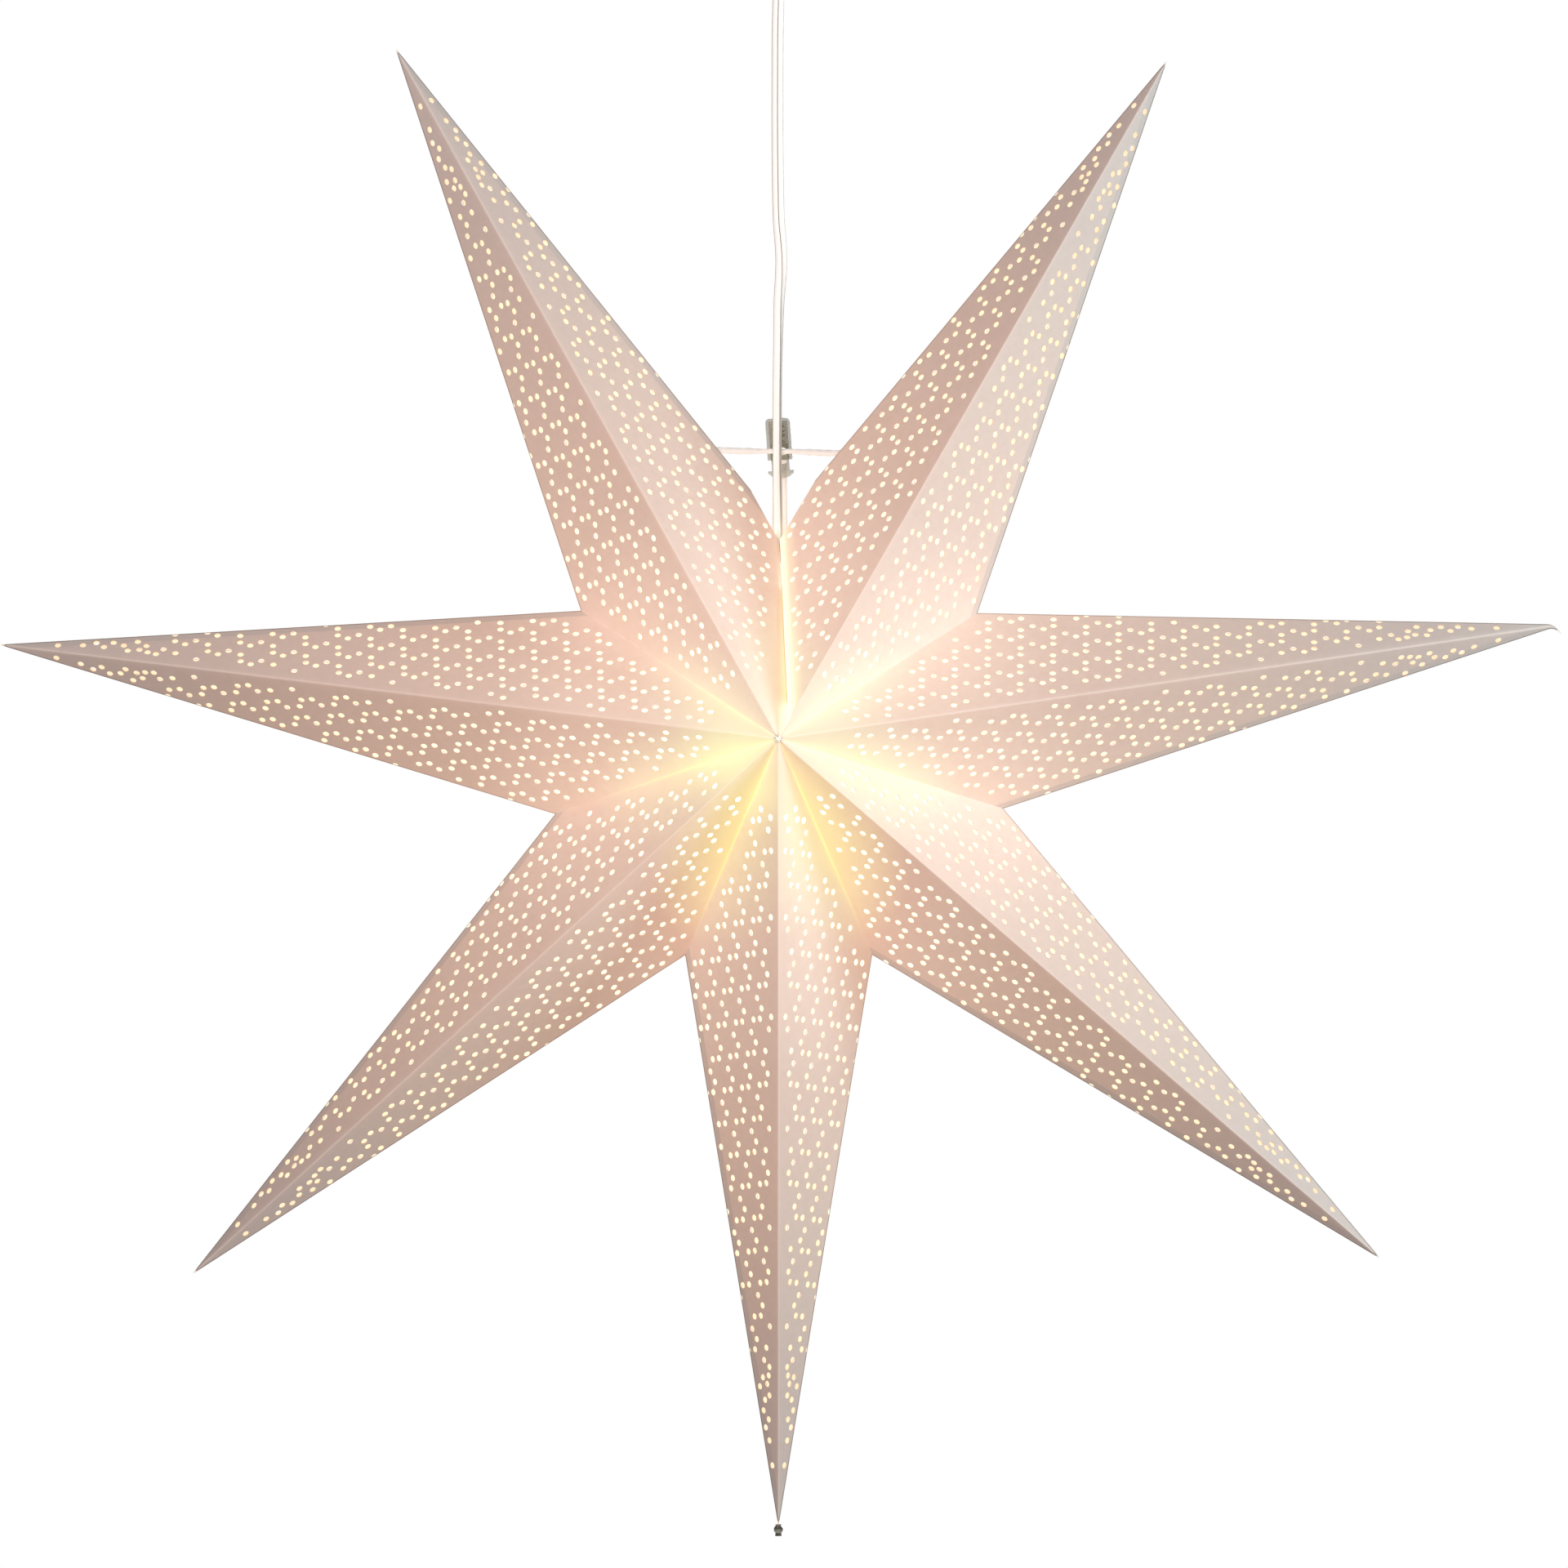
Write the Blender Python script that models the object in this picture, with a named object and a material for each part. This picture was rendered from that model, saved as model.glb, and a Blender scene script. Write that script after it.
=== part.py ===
"""Lit paper star with seven folded points, hung by its lamp cord from a small ceiling fitting.

Metres, +Z up, and the front faces -Y. The origin is the centre of the ceiling fitting's flat top face.
A paper point of the real star is one folded, glued sheet. Its four flat panels are separate plates here,
which meet along the creases, so that each plate is convex and the star stays hollow.
"""

import math

import bmesh
import bpy
from mathutils import Matrix, Vector

MM = 0.001
GAP = 0.3 * MM

# The star: how far its centre hangs below the ceiling, and its apexes stand from the middle plane.
STAR_HEIGHT = -420 * MM
HALF_DEPTH = 68 * MM
PAPER = 0.4 * MM
CREASE_INSET = 0.45 * MM

# Each tip's angle in degrees and radius, clockwise from the point at the right of the seam.
TIPS = (
    (60.2, 346.6 * MM),
    (8.3, 351.3 * MM),
    (-40.8, 352.7 * MM),
    (-90.0, 349.1 * MM),
    (-137.6, 352.0 * MM),
    (-186.9, 348.0 * MM),
    (-241.0, 350.2 * MM),
)
# The notch on each point's clockwise side. The last point's is the seam, at the top.
NOTCH_ANGLES = (32.3, -17.2, -66.5, -113.3, -161.4, -213.0)
NOTCH_RADIUS = 104.4 * MM

# The seam: both end points have their notch corner cut off, which leaves a hole for the cord.
SEAM_RADIUS = 95 * MM
SEAM_CUT = 0.0737
SIDE_CUT_LEFT = 0.0725
SIDE_CUT_RIGHT = 0.0968
SEAM_INSET_RIGHT = 2.4 * MM
FLAP_WIDTH = 6.5 * MM
FLAP_TOP = 0.26
FLAP_BOTTOM = 0.90

# Bead on the bottom tip.
BEAD_RADIUS = 2.05 * MM
BEAD_HEIGHT = 5.3 * MM

# The lamp cord is a flat twin lead, 5.2 by 3.2 mm, and its solid is the round tube between the two.
CORD_RADIUS = 2.1 * MM
CORD_SOCKET = 2.9 * MM
# Route of the hanging cord, as x, y and the height above the star's centre, from the holder upwards.
CORD_ROUTE = (
    (0.0, 0.0, 76.8),
    (0.0, 0.0, 88.0),
    (-0.2, 0.0, 104.0),
    (-0.5, 0.0, 124.0),
    (-0.5, 0.0, 142.0),
    (-0.4, 0.0, 160.0),
    (-0.1, 0.0, 178.0),
    (0.3, 0.0, 194.0),
    (1.0, 0.0, 204.0),
    (1.3, 0.0, 212.0),
    (1.0, 0.0, 220.0),
    (0.2, 0.0, 230.0),
    (-0.2, 0.0, 246.0),
    (-0.4, 0.0, 268.0),
    (-0.4, 0.0, 292.0),
    (-0.3, 0.0, 314.0),
    (0.0, 0.0, 328.0),
    (0.0, 0.0, 338.2),
)
CORD_STEP = 7.0 * MM

# Lamp holder and bulb, as heights above the star's centre.
RELIEF_TOP = 78 * MM
RELIEF_SOCKET = 3 * MM
RELIEF_TIP = 3.7 * MM
RELIEF_WAIST = 4.9 * MM
RELIEF_FLANGE = 6.6 * MM
CAP_HEIGHT = 10.5 * MM
CAP_HOLE = 5.2 * MM
CAP_CORNER = 7.2 * MM
CAP_WALL = 1.8 * MM
CONTACT_HOLE = 1.8 * MM
HOLDER_ROOF = 3 * MM
SHELL_BOTTOM = 16 * MM
SHELL_HOLE = 4.6 * MM
HOLDER_CONTACT = ((0, 39.6), (2.6, 39.6), (3.4, 42.4), (0, 42.4))
HOLDER_RADIUS = 14 * MM
HOLDER_WALL = 1.8 * MM
HOLDER_TOP = 45.7 * MM
HOLDER_BOTTOM = 12 * MM
SHELL_RADIUS = 7.8 * MM
SHELL_WALL = 0.5 * MM
BULB_RADIUS = 22.5 * MM
BULB_CENTRE = -20 * MM
BULB_WALL = 0.8 * MM
BULB_NECK = 5.9 * MM
BULB_FLARE = 62.0
NECK_BOTTOM = 12.6 * MM
NECK_TOP = 20 * MM
FILAMENT_RADIUS = 9 * MM
FILAMENT_HEIGHT = -14 * MM
FILAMENT_WAVE = 0.8 * MM
FILAMENT_WIRE = 0.5 * MM
# Turned outlines of the bulb's small parts, as (radius, height) in millimetres.
BULB_CAP = (
    (6.9, 35.4),
    (6.9, 15.0),
    (7.9, 13.6),
    (7.4, 13.2),
    (6.25, 14.8),
    (6.25, 34.8),
    (4.6, 36.0),
    (5.0, 36.6),
)
BULB_INSULATOR = ((0, 34.6), (4.2, 34.6), (4.2, 36.6), (2.6, 38.0), (0, 38.0))
BULB_CONTACT = ((0, 38.3), (2.1, 38.3), (1.4, 39.2), (0, 39.2))
BULB_STEM = ((0, 19.0), (4.6, 19.0), (2.2, 8.0), (1.5, -9.0), (0, -10.0))

# Tie strings and the spring cord lock that holds them.
STRING_RADIUS = 1.1 * MM
STRING_PITCH = 2.5 * MM
STRING_FRONT = 4.5 * MM
STRING_HEIGHT = 127.8 * MM
STRING_STEP = 3.5 * MM
STRING_BEND = 4.4 * MM
STRING_SAG = 0.35 * MM
STRING_BACK = 24.5 * MM
STRING_DROP = 5.0 * MM
TAIL_SPREAD = 1.5 * MM
KNOT_SWELL = 2.1
STRING_HOLE = 1.45 * MM
STRING_HOLE_X = 31.5 * MM
# Per side: the inner knot's distance from the middle, the string's rise out to it, and the tail's length.
STRING_ENDS = {
    -1: (40.0 * MM, 1.3 * MM, 56 * MM),
    1: (40.5 * MM, -0.9 * MM, 62 * MM),
}
LOCK_CENTRE = Vector((0.6 * MM, 11.6 * MM, STRING_HEIGHT))
LOCK_TILT = 4.0
LOCK_RADIUS = 5.6 * MM
LOCK_BORE = 4.3 * MM
LOCK_TRAVEL = 4.0 * MM
LOCK_TOP = 15 * MM
LOCK_ROOF = 1.5 * MM
LOCK_FOOT = -3.8 * MM
LOCK_CORNER = 2 * MM
LOCK_EDGE = 0.4 * MM
STEM_RADIUS = 4.0 * MM
STEM_TOP = 3.4 * MM
PIN_TOP = 6.4 * MM
PIN_RADIUS = 1.4 * MM
BUTTON_HEIGHT = -8.5 * MM
BUTTON_RADIUS = 5.8 * MM
BUTTON_RIM = 0.8 * MM
BUTTON_DOME = 7.8 * MM
BUTTON_RISE = 4.2 * MM
SLOT_CUTTER = 9 * MM
SLOT_WIDTH = 6.4 * MM
SLOT_HEIGHT = 3.2 * MM
SPRING_WIRE = 0.35 * MM
SPRING_RADIUS = 2.7 * MM
SPRING_TURNS = 3.5

# Ceiling fitting, as heights below the ceiling.
PLATE_RADIUS = 36 * MM
PLATE_THICKNESS = 3 * MM
CUP_RADIUS = 40 * MM
CUP_WALL = 1.8 * MM
CUP_TOP = -0.5 * MM
CUP_BOTTOM = -58 * MM
CUP_CORNER = 24 * MM
OUTLET_RADIUS = 5.2 * MM
SLEEVE_BOTTOM = -83 * MM
CUP_SCREW_HEIGHT = -11 * MM
CUP_SCREW_RADIUS = 1.4 * MM
# A cup screw's turned head, as (radius, height above the cup) in millimetres, and its slot.
SCREW_HEAD = ((0, 2.2), (1.6, 2.0), (2.6, 1.2), (2.8, 0.3))
SCREW_END = 8.5 * MM
SCREW_SLOT = (1.6 * MM, 0.8 * MM, 8 * MM)
LUG_SIZE = (2 * MM, 11 * MM, 17 * MM)
LUG_INSET = 1.6 * MM
PLATE_HOLE_RADIUS = 2.3 * MM
PLATE_HOLE_Y = 24 * MM
BLOCK_SIZE = (20 * MM, 14 * MM, 13 * MM)
BLOCK_HOLE_RADIUS = 1.7 * MM
BLOCK_HOLE_X = 5 * MM
CLAMP_SIZE = (16 * MM, 8 * MM, 5 * MM)
CLAMP_RISE = 16 * MM
BOX_EDGE = 0.8 * MM
COLLAR_RISE = 2.4 * MM
COLLAR_HEIGHT = 2 * MM
COLLAR_RADIUS = 6.8 * MM
COLLAR_EDGE = 0.4 * MM
SLEEVE_NECK = 3.6 * MM
SLEEVE_SHOULDER = 5.2 * MM
SLEEVE_TIP = 3.8 * MM
SLEEVE_SOCKET = 3 * MM


def clear_scene():
    """Remove the startup objects."""
    for old in list(bpy.data.objects):
        bpy.data.objects.remove(old, do_unlink=True)


def material(name, colour, roughness, metallic=0.0, alpha=1.0):
    """A Principled material of one colour."""
    made = bpy.data.materials.new(name)
    made.use_nodes = True
    shader = made.node_tree.nodes["Principled BSDF"]
    shader.inputs["Base Color"].default_value = (*colour, 1.0)
    shader.inputs["Roughness"].default_value = roughness
    shader.inputs["Metallic"].default_value = metallic
    shader.inputs["Alpha"].default_value = alpha
    made.diffuse_color = (*colour, alpha)
    return made


def placed(name, data, finish, location=(0.0, 0.0, 0.0), smooth=True):
    """A named object with its material, at its place."""
    made = bpy.data.objects.new(name, data)
    bpy.context.scene.collection.objects.link(made)
    made.location = location
    data.materials.append(finish)
    if smooth and made.type == "MESH":
        data.shade_smooth()
        data.set_sharp_from_angle(angle=math.radians(35))
    return made


def cutter(name, data, location=(0.0, 0.0, 0.0)):
    """A helper solid that only a Boolean uses."""
    made = bpy.data.objects.new(name, data)
    bpy.context.scene.collection.objects.link(made)
    made.location = location
    made.hide_render = True
    made.display_type = "WIRE"
    return made


def boolean(target, other, operation="DIFFERENCE"):
    """An EXACT Boolean between two objects."""
    modifier = target.modifiers.new(other.name, "BOOLEAN")
    modifier.operation = operation
    modifier.object = other


def mesh_from(bm, name):
    """Finish a bmesh: faces turned outwards, and the bmesh freed."""
    bmesh.ops.recalc_face_normals(bm, faces=bm.faces)
    mesh = bpy.data.meshes.new(name)
    bm.to_mesh(mesh)
    bm.free()
    return mesh


def turned_mesh(name, profile, steps=32):
    """A solid of revolution about Z. The (radius, height) profile is a closed ring, or ends on the axis."""
    bm = bmesh.new()
    rings = []
    for radius, height in profile:
        if radius == 0:
            rings.append([bm.verts.new((0.0, 0.0, height))])
            continue
        turn = [math.tau * k / steps for k in range(steps)]
        rings.append([bm.verts.new((radius * math.cos(a), radius * math.sin(a), height)) for a in turn])
    pairs = list(zip(rings, rings[1:]))
    if len(rings[0]) > 1:
        pairs.append((rings[-1], rings[0]))
    for first, second in pairs:
        for k in range(steps):
            corners = (
                first[k % len(first)],
                first[(k + 1) % len(first)],
                second[(k + 1) % len(second)],
                second[k % len(second)],
            )
            bm.faces.new(dict.fromkeys(corners))
    return mesh_from(bm, name)


def arc(centre, radius, start, end, count):
    """Points on an arc in the (radius, height) plane, from start to end in degrees."""
    angles = [math.radians(start + (end - start) * k / count) for k in range(count + 1)]
    return [(centre[0] + radius * math.cos(a), centre[1] + radius * math.sin(a)) for a in angles]


def prism_mesh(name, outline, low, high):
    """An outline in the XZ plane, extruded along Y from low to high."""
    bm = bmesh.new()
    near = [bm.verts.new((x, low, z)) for x, z in outline]
    far = [bm.verts.new((x, high, z)) for x, z in outline]
    bm.faces.new(near)
    bm.faces.new(far[::-1])
    for k in range(len(outline)):
        after = (k + 1) % len(outline)
        bm.faces.new((near[k], far[k], far[after], near[after]))
    return mesh_from(bm, name)


def box_mesh(name, size, bevel=0.0):
    """A box centred on the origin, with its edges rounded."""
    bm = bmesh.new()
    bmesh.ops.create_cube(bm, size=1.0)
    bmesh.ops.scale(bm, vec=size, verts=bm.verts)
    if bevel:
        bmesh.ops.bevel(bm, geom=bm.edges, offset=bevel, segments=2, affect="EDGES", profile=0.5)
    return mesh_from(bm, name)


def cylinder_mesh(name, radius, length, axis="Z", steps=16):
    """A cylinder centred on the origin, along one axis."""
    bm = bmesh.new()
    bmesh.ops.create_cone(bm, cap_ends=True, segments=steps, radius1=radius, radius2=radius, depth=length)
    mesh = mesh_from(bm, name)
    if axis == "X":
        mesh.transform(Matrix.Rotation(math.pi / 2, 4, "Y"))
    if axis == "Y":
        mesh.transform(Matrix.Rotation(math.pi / 2, 4, "X"))
    return mesh


def smooth_route(points, step):
    """Points a step apart along the smooth curve through the given ones (Catmull-Rom)."""
    padded = [2 * points[0] - points[1], *points, 2 * points[-1] - points[-2]]
    route = []
    for before, start, end, after in zip(padded, padded[1:], padded[2:], padded[3:]):
        count = max(1, round((end - start).length / step))
        for k in range(count):
            t = k / count
            bend = 2 * before - 5 * start + 4 * end - after
            twist = 3 * start - before - 3 * end + after
            route.append(0.5 * (2 * start + t * (end - before) + t * t * bend + t**3 * twist))
    route.append(points[-1].copy())
    return route


def tube(name, route, radius, finish, swell=None):
    """A round tube with closed ends along a route. swell holds a radius factor for each point."""
    curve = bpy.data.curves.new(name, "CURVE")
    curve.dimensions = "3D"
    curve.bevel_depth = radius
    curve.bevel_resolution = 2
    curve.use_fill_caps = True
    spline = curve.splines.new("POLY")
    spline.points.add(len(route) - 1)
    for k, place in enumerate(route):
        spline.points[k].co = (*place, 1.0)
        spline.points[k].radius = swell[k] if swell else 1.0
    return placed(name, curve, finish)


def star_place(angle, radius, depth=0.0):
    """A place on the star, from its polar angle and radius, and its depth behind the middle plane."""
    turn = math.radians(angle)
    return Vector((radius * math.cos(turn), depth, STAR_HEIGHT + radius * math.sin(turn)))


def inset_outline(corners, insets):
    """A flat convex outline with each edge moved inwards by its own inset, and the outline's normal."""
    normal = (corners[1] - corners[0]).cross(corners[2] - corners[0]).normalized()
    edges = []
    for start, end, inset in zip(corners, corners[1:] + corners[:1], insets):
        along = (end - start).normalized()
        edges.append((start + normal.cross(along) * inset, along))
    outline = []
    for (first, u), (second, v) in zip(edges[-1:] + edges[:-1], edges):
        reach = (second - first).cross(v).dot(normal) / u.cross(v).dot(normal)
        outline.append(first + u * reach)
    return outline, normal


def paper_plate(name, corners, insets, finish):
    """A flat paper panel as thick as the paper, with its edges held back from the creases."""
    outline, normal = inset_outline(corners, insets)
    bm = bmesh.new()
    inner = [bm.verts.new(corner - normal * PAPER / 2) for corner in outline]
    outer = [bm.verts.new(corner + normal * PAPER / 2) for corner in outline]
    bm.faces.new(inner[::-1])
    bm.faces.new(outer)
    for k in range(len(outline)):
        after = (k + 1) % len(outline)
        bm.faces.new((inner[k], inner[after], outer[after], outer[k]))
    return placed(name, mesh_from(bm, name), finish, smooth=False)


def end_panel_corners(tip, apex, side_cut):
    """Corners of a panel beside the seam, whose notch corner is cut off for the cord."""
    notch = star_place(90.0, SEAM_RADIUS)
    return [apex, tip, notch.lerp(tip, side_cut), notch.lerp(apex, SEAM_CUT)]


def panel_corners(index, apex, side):
    """Corners of one panel of a point, and the inset of each of its edges."""
    tip = star_place(*TIPS[index])
    insets = [CREASE_INSET, CREASE_INSET, 0.0]
    if side == "left" and index == 0:
        return end_panel_corners(tip, apex, SIDE_CUT_RIGHT), [*insets, SEAM_INSET_RIGHT]
    if side == "right" and index == len(TIPS) - 1:
        return end_panel_corners(tip, apex, SIDE_CUT_LEFT), [*insets, CREASE_INSET]
    notch = star_place(NOTCH_ANGLES[index if side == "right" else index - 1], NOTCH_RADIUS)
    return [apex, tip, notch], [CREASE_INSET] * 3


def add_star(paper):
    """The seven points. Left and right are as seen from the front with the point's tip upwards."""
    for index in range(len(TIPS)):
        for face, depth in (("front", -HALF_DEPTH), ("back", HALF_DEPTH)):
            apex = Vector((0.0, depth, STAR_HEIGHT))
            for side in ("left", "right"):
                # Seen from the front, a point's clockwise neighbour is on its right.
                corners, insets = panel_corners(index, apex, side)
                paper_plate(f"point_{index + 1}_{face}_{side}", corners, insets, paper)


def add_seam_flaps(paper):
    """The glue flap of the first point, turned inwards along the seam, on the front and on the back."""
    notch = star_place(90.0, SEAM_RADIUS)
    shift = Vector((SEAM_INSET_RIGHT, 0.0, 0.0))
    for face, depth in (("front", -HALF_DEPTH), ("back", HALF_DEPTH)):
        apex = Vector((0.0, depth, STAR_HEIGHT))
        along = (apex - notch).normalized()
        inward = along.cross(Vector((1.0, 0.0, 0.0))) * (-1.0 if depth < 0 else 1.0)
        top = notch.lerp(apex, FLAP_TOP) + shift + inward * GAP
        bottom = notch.lerp(apex, FLAP_BOTTOM) + shift + inward * GAP
        corners = [top, bottom, bottom + inward * FLAP_WIDTH, top + inward * FLAP_WIDTH]
        paper_plate(f"seam_flap_{face}", corners, [0.0] * 4, paper)


def add_bead(steel):
    """The small steel bead on the bottom tip, with a flat base and a socket for the paper."""
    middle = -BEAD_HEIGHT * 0.45
    profile = [(0, -1.2 * MM), (0.9 * MM, 0), (1.3 * MM, 0)]
    profile += arc((0, middle), BEAD_RADIUS, 55, -50, 6)
    profile += [(1.45 * MM, -BEAD_HEIGHT), (0, -BEAD_HEIGHT)]
    tip = star_place(*TIPS[3])
    top = tip + Vector((0.0, 0.0, 0.6 * MM))
    placed("bottom_tip_bead", turned_mesh("bottom_tip_bead", profile, 20), steel, top)


def add_cord(plastic):
    """The hanging stretch of the lamp cord, from the lamp holder to the ceiling fitting's sleeve."""
    points = [Vector((x * MM, y * MM, STAR_HEIGHT + z * MM)) for x, y, z in CORD_ROUTE]
    tube("lamp_cord", smooth_route(points, CORD_STEP), CORD_RADIUS, plastic)


def scaled(outline):
    """A turned outline given in millimetres, in metres."""
    return [(radius * MM, height * MM) for radius, height in outline]


def add_holder(plastic, brass):
    """The lamp holder: strain relief, cap, body, threaded brass shell and centre contact."""
    place = (0.0, 0.0, STAR_HEIGHT)
    cap_bottom = HOLDER_TOP + GAP
    cap_top = cap_bottom + CAP_HEIGHT
    flange_top = cap_top - CAP_WALL - 0.4 * MM
    flange_bottom = flange_top - 2 * MM
    relief = [
        (0, RELIEF_TOP - RELIEF_SOCKET),
        (CORD_SOCKET, RELIEF_TOP - RELIEF_SOCKET),
        (CORD_SOCKET, RELIEF_TOP),
        (RELIEF_TIP, RELIEF_TOP),
        (RELIEF_WAIST, cap_top + 0.5 * MM),
        (RELIEF_WAIST, flange_top),
        (RELIEF_FLANGE, flange_top),
        (RELIEF_FLANGE, flange_bottom),
        (0, flange_bottom),
    ]
    placed("holder_strain_relief", turned_mesh("holder_strain_relief", relief, 24), plastic, place)

    shoulder = HOLDER_RADIUS - CAP_CORNER
    corner = (shoulder, cap_top - CAP_CORNER)
    cap = [(CAP_HOLE, cap_top), (shoulder, cap_top)]
    cap += arc(corner, CAP_CORNER, 80, 0, 5)
    cap += [(HOLDER_RADIUS, cap_bottom), (HOLDER_RADIUS - HOLDER_WALL, cap_bottom)]
    cap += arc(corner, CAP_CORNER - CAP_WALL, 0, 80, 5)
    cap += [(CAP_HOLE, cap_top - CAP_WALL)]
    placed("holder_cap", turned_mesh("holder_cap", cap), plastic, place)

    roof = HOLDER_TOP - HOLDER_ROOF
    inner = HOLDER_RADIUS - HOLDER_WALL
    body = [
        (CONTACT_HOLE, HOLDER_TOP),
        (HOLDER_RADIUS, HOLDER_TOP),
        (HOLDER_RADIUS, HOLDER_BOTTOM + 1 * MM),
        (HOLDER_RADIUS - 1 * MM, HOLDER_BOTTOM),
        (inner, HOLDER_BOTTOM),
        (inner, roof),
        (CONTACT_HOLE, roof),
    ]
    placed("holder_body", turned_mesh("holder_body", body), plastic, place)

    shell = [
        (SHELL_RADIUS, SHELL_BOTTOM),
        (SHELL_RADIUS, roof - GAP),
        (SHELL_HOLE, roof - GAP),
        (SHELL_HOLE, roof - GAP - SHELL_WALL),
        (SHELL_RADIUS - SHELL_WALL, roof - GAP - SHELL_WALL),
        (SHELL_RADIUS - SHELL_WALL, SHELL_BOTTOM),
    ]
    placed("holder_shell", turned_mesh("holder_shell", shell, 28), brass, place)
    placed("holder_contact", turned_mesh("holder_contact", scaled(HOLDER_CONTACT), 16), brass, place)


def add_bulb(glass, nickel, brass, black, filament_finish):
    """A small globe lamp: glass, screw cap, insulator, contact, stem and filament."""
    place = (0.0, 0.0, STAR_HEIGHT)
    centre = (0.0, BULB_CENTRE)
    inside = BULB_RADIUS - BULB_WALL
    outer = [(BULB_NECK, NECK_TOP), (BULB_NECK, NECK_BOTTOM)]
    outer += arc(centre, BULB_RADIUS, BULB_FLARE, -90, 12)[:-1] + [(0, BULB_CENTRE - BULB_RADIUS)]
    inner = [(BULB_NECK - BULB_WALL, NECK_TOP), (BULB_NECK - BULB_WALL, NECK_BOTTOM)]
    inner += arc(centre, inside, BULB_FLARE + 1, -90, 12)[:-1] + [(0, BULB_CENTRE - inside)]
    placed("bulb_glass", turned_mesh("bulb_glass", outer[::-1] + inner, 28), glass, place)
    placed("bulb_cap", turned_mesh("bulb_cap", scaled(BULB_CAP), 28), nickel, place)
    placed("bulb_insulator", turned_mesh("bulb_insulator", scaled(BULB_INSULATOR), 20), black, place)
    placed("bulb_contact", turned_mesh("bulb_contact", scaled(BULB_CONTACT), 16), brass, place)
    placed("bulb_stem", turned_mesh("bulb_stem", scaled(BULB_STEM), 16), glass, place)

    loop = []
    for k in range(33):
        turn = math.radians(-240 + 300 * k / 32)
        height = FILAMENT_HEIGHT + FILAMENT_WAVE * math.sin(12 * turn)
        loop.append(Vector((FILAMENT_RADIUS * math.cos(turn), FILAMENT_RADIUS * math.sin(turn), height)))
    tube("bulb_filament", [point + Vector(place) for point in loop], FILAMENT_WIRE, filament_finish)


def string_route(side):
    """A tie string's route, from its knot inside one end point to its free end behind the star.

    side is -1 for the left string and 1 for the right one. The string runs behind the cord, turns back
    through the cord lock's slot beside its twin, and hangs down behind the star's top notch.
    """
    knot_x, rise, tail = STRING_ENDS[side]
    lane = LOCK_CENTRE.x + side * STRING_PITCH / 2
    start = side * knot_x
    level = STAR_HEIGHT + STRING_HEIGHT
    reach = start - (lane + side * STRING_BEND)
    route = []
    for k in range(13):
        share = k / 12
        sag = -STRING_SAG * math.sin(math.pi * share)
        route.append(Vector((start - reach * share, STRING_FRONT, level + rise * (1 - share) + sag)))
    for k in range(1, 7):
        turn = math.pi / 2 * k / 6
        x = lane + side * STRING_BEND * (1 - math.sin(turn))
        route.append(Vector((x, STRING_FRONT + STRING_BEND * (1 - math.cos(turn)), level)))
    straight_start = STRING_FRONT + STRING_BEND
    for k in range(1, 9):
        route.append(Vector((lane, straight_start + (STRING_BACK - straight_start) * k / 8, level)))
    for k in range(1, 7):
        turn = math.pi / 2 * k / 6
        x = lane + side * TAIL_SPREAD * k / 12
        y = STRING_BACK + STRING_DROP * math.sin(turn)
        route.append(Vector((x, y, level - STRING_DROP * (1 - math.cos(turn)))))
    steps = round(tail / STRING_STEP)
    for k in range(1, steps + 1):
        share = k / steps
        x = lane + side * TAIL_SPREAD * (0.5 + 0.5 * share)
        route.append(Vector((x, STRING_BACK + STRING_DROP, level - STRING_DROP - tail * share)))
    return route


def knot_swell(route, centre, half_length):
    """Radius factors along a route that swell into a knot around one of its places."""
    factors = []
    for place in route:
        offset = (place - centre).length / half_length
        bulge = math.sqrt(1 - offset * offset) if offset < 1 else 0.0
        factors.append(1 + (KNOT_SWELL - 1) * bulge)
    return factors


def add_strings(cotton):
    """The two tie strings, each with a knot inside its end point and another on its free end."""
    for name, side in (("left", -1), ("right", 1)):
        route = string_route(side)
        inner = knot_swell(route, route[0] - Vector((side * 2.0 * MM, 0.0, 0.0)), 3.0 * MM)
        outer = knot_swell(route, route[-3], 3.5 * MM)
        swell = [max(a, b) for a, b in zip(inner, outer)]
        tube(f"tie_string_{name}", route, STRING_RADIUS, cotton, swell)


def punch_string_holes():
    """The hole in each end point's back panel where the tie string goes in."""
    for name, side in (("point_7_back_right", -1), ("point_1_back_left", 1)):
        mesh = cylinder_mesh(f"{name}_hole", STRING_HOLE, 16 * MM, "X")
        height = STAR_HEIGHT + STRING_HEIGHT + (1.1 * MM if side < 0 else -0.9 * MM)
        drill = cutter(f"{name}_hole", mesh, (side * STRING_HOLE_X, STRING_FRONT, height))
        boolean(bpy.data.objects[name], drill)


def slot_outline(width, low, high):
    """An upright slot outline with rounded corners, in the XZ plane."""
    corner = 1.2 * MM
    half = width / 2 - corner
    outline = []
    for x, z, start in ((half, high - corner, 0), (-half, high - corner, 90), (-half, low + corner, 180)):
        outline += arc((x, z), corner, start, start + 90, 4)
    outline += arc((half, low + corner), corner, 270, 360, 4)
    return outline


def slotted(name, profile, slot, finish):
    """A turned piece with a slot from front to back. Returns the piece and its cutter."""
    piece = placed(name, turned_mesh(name, profile), finish)
    tool = cutter(f"{name}_slot", prism_mesh(f"{name}_slot", slot, -SLOT_CUTTER, SLOT_CUTTER))
    boolean(piece, tool)
    return [piece, tool]


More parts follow.
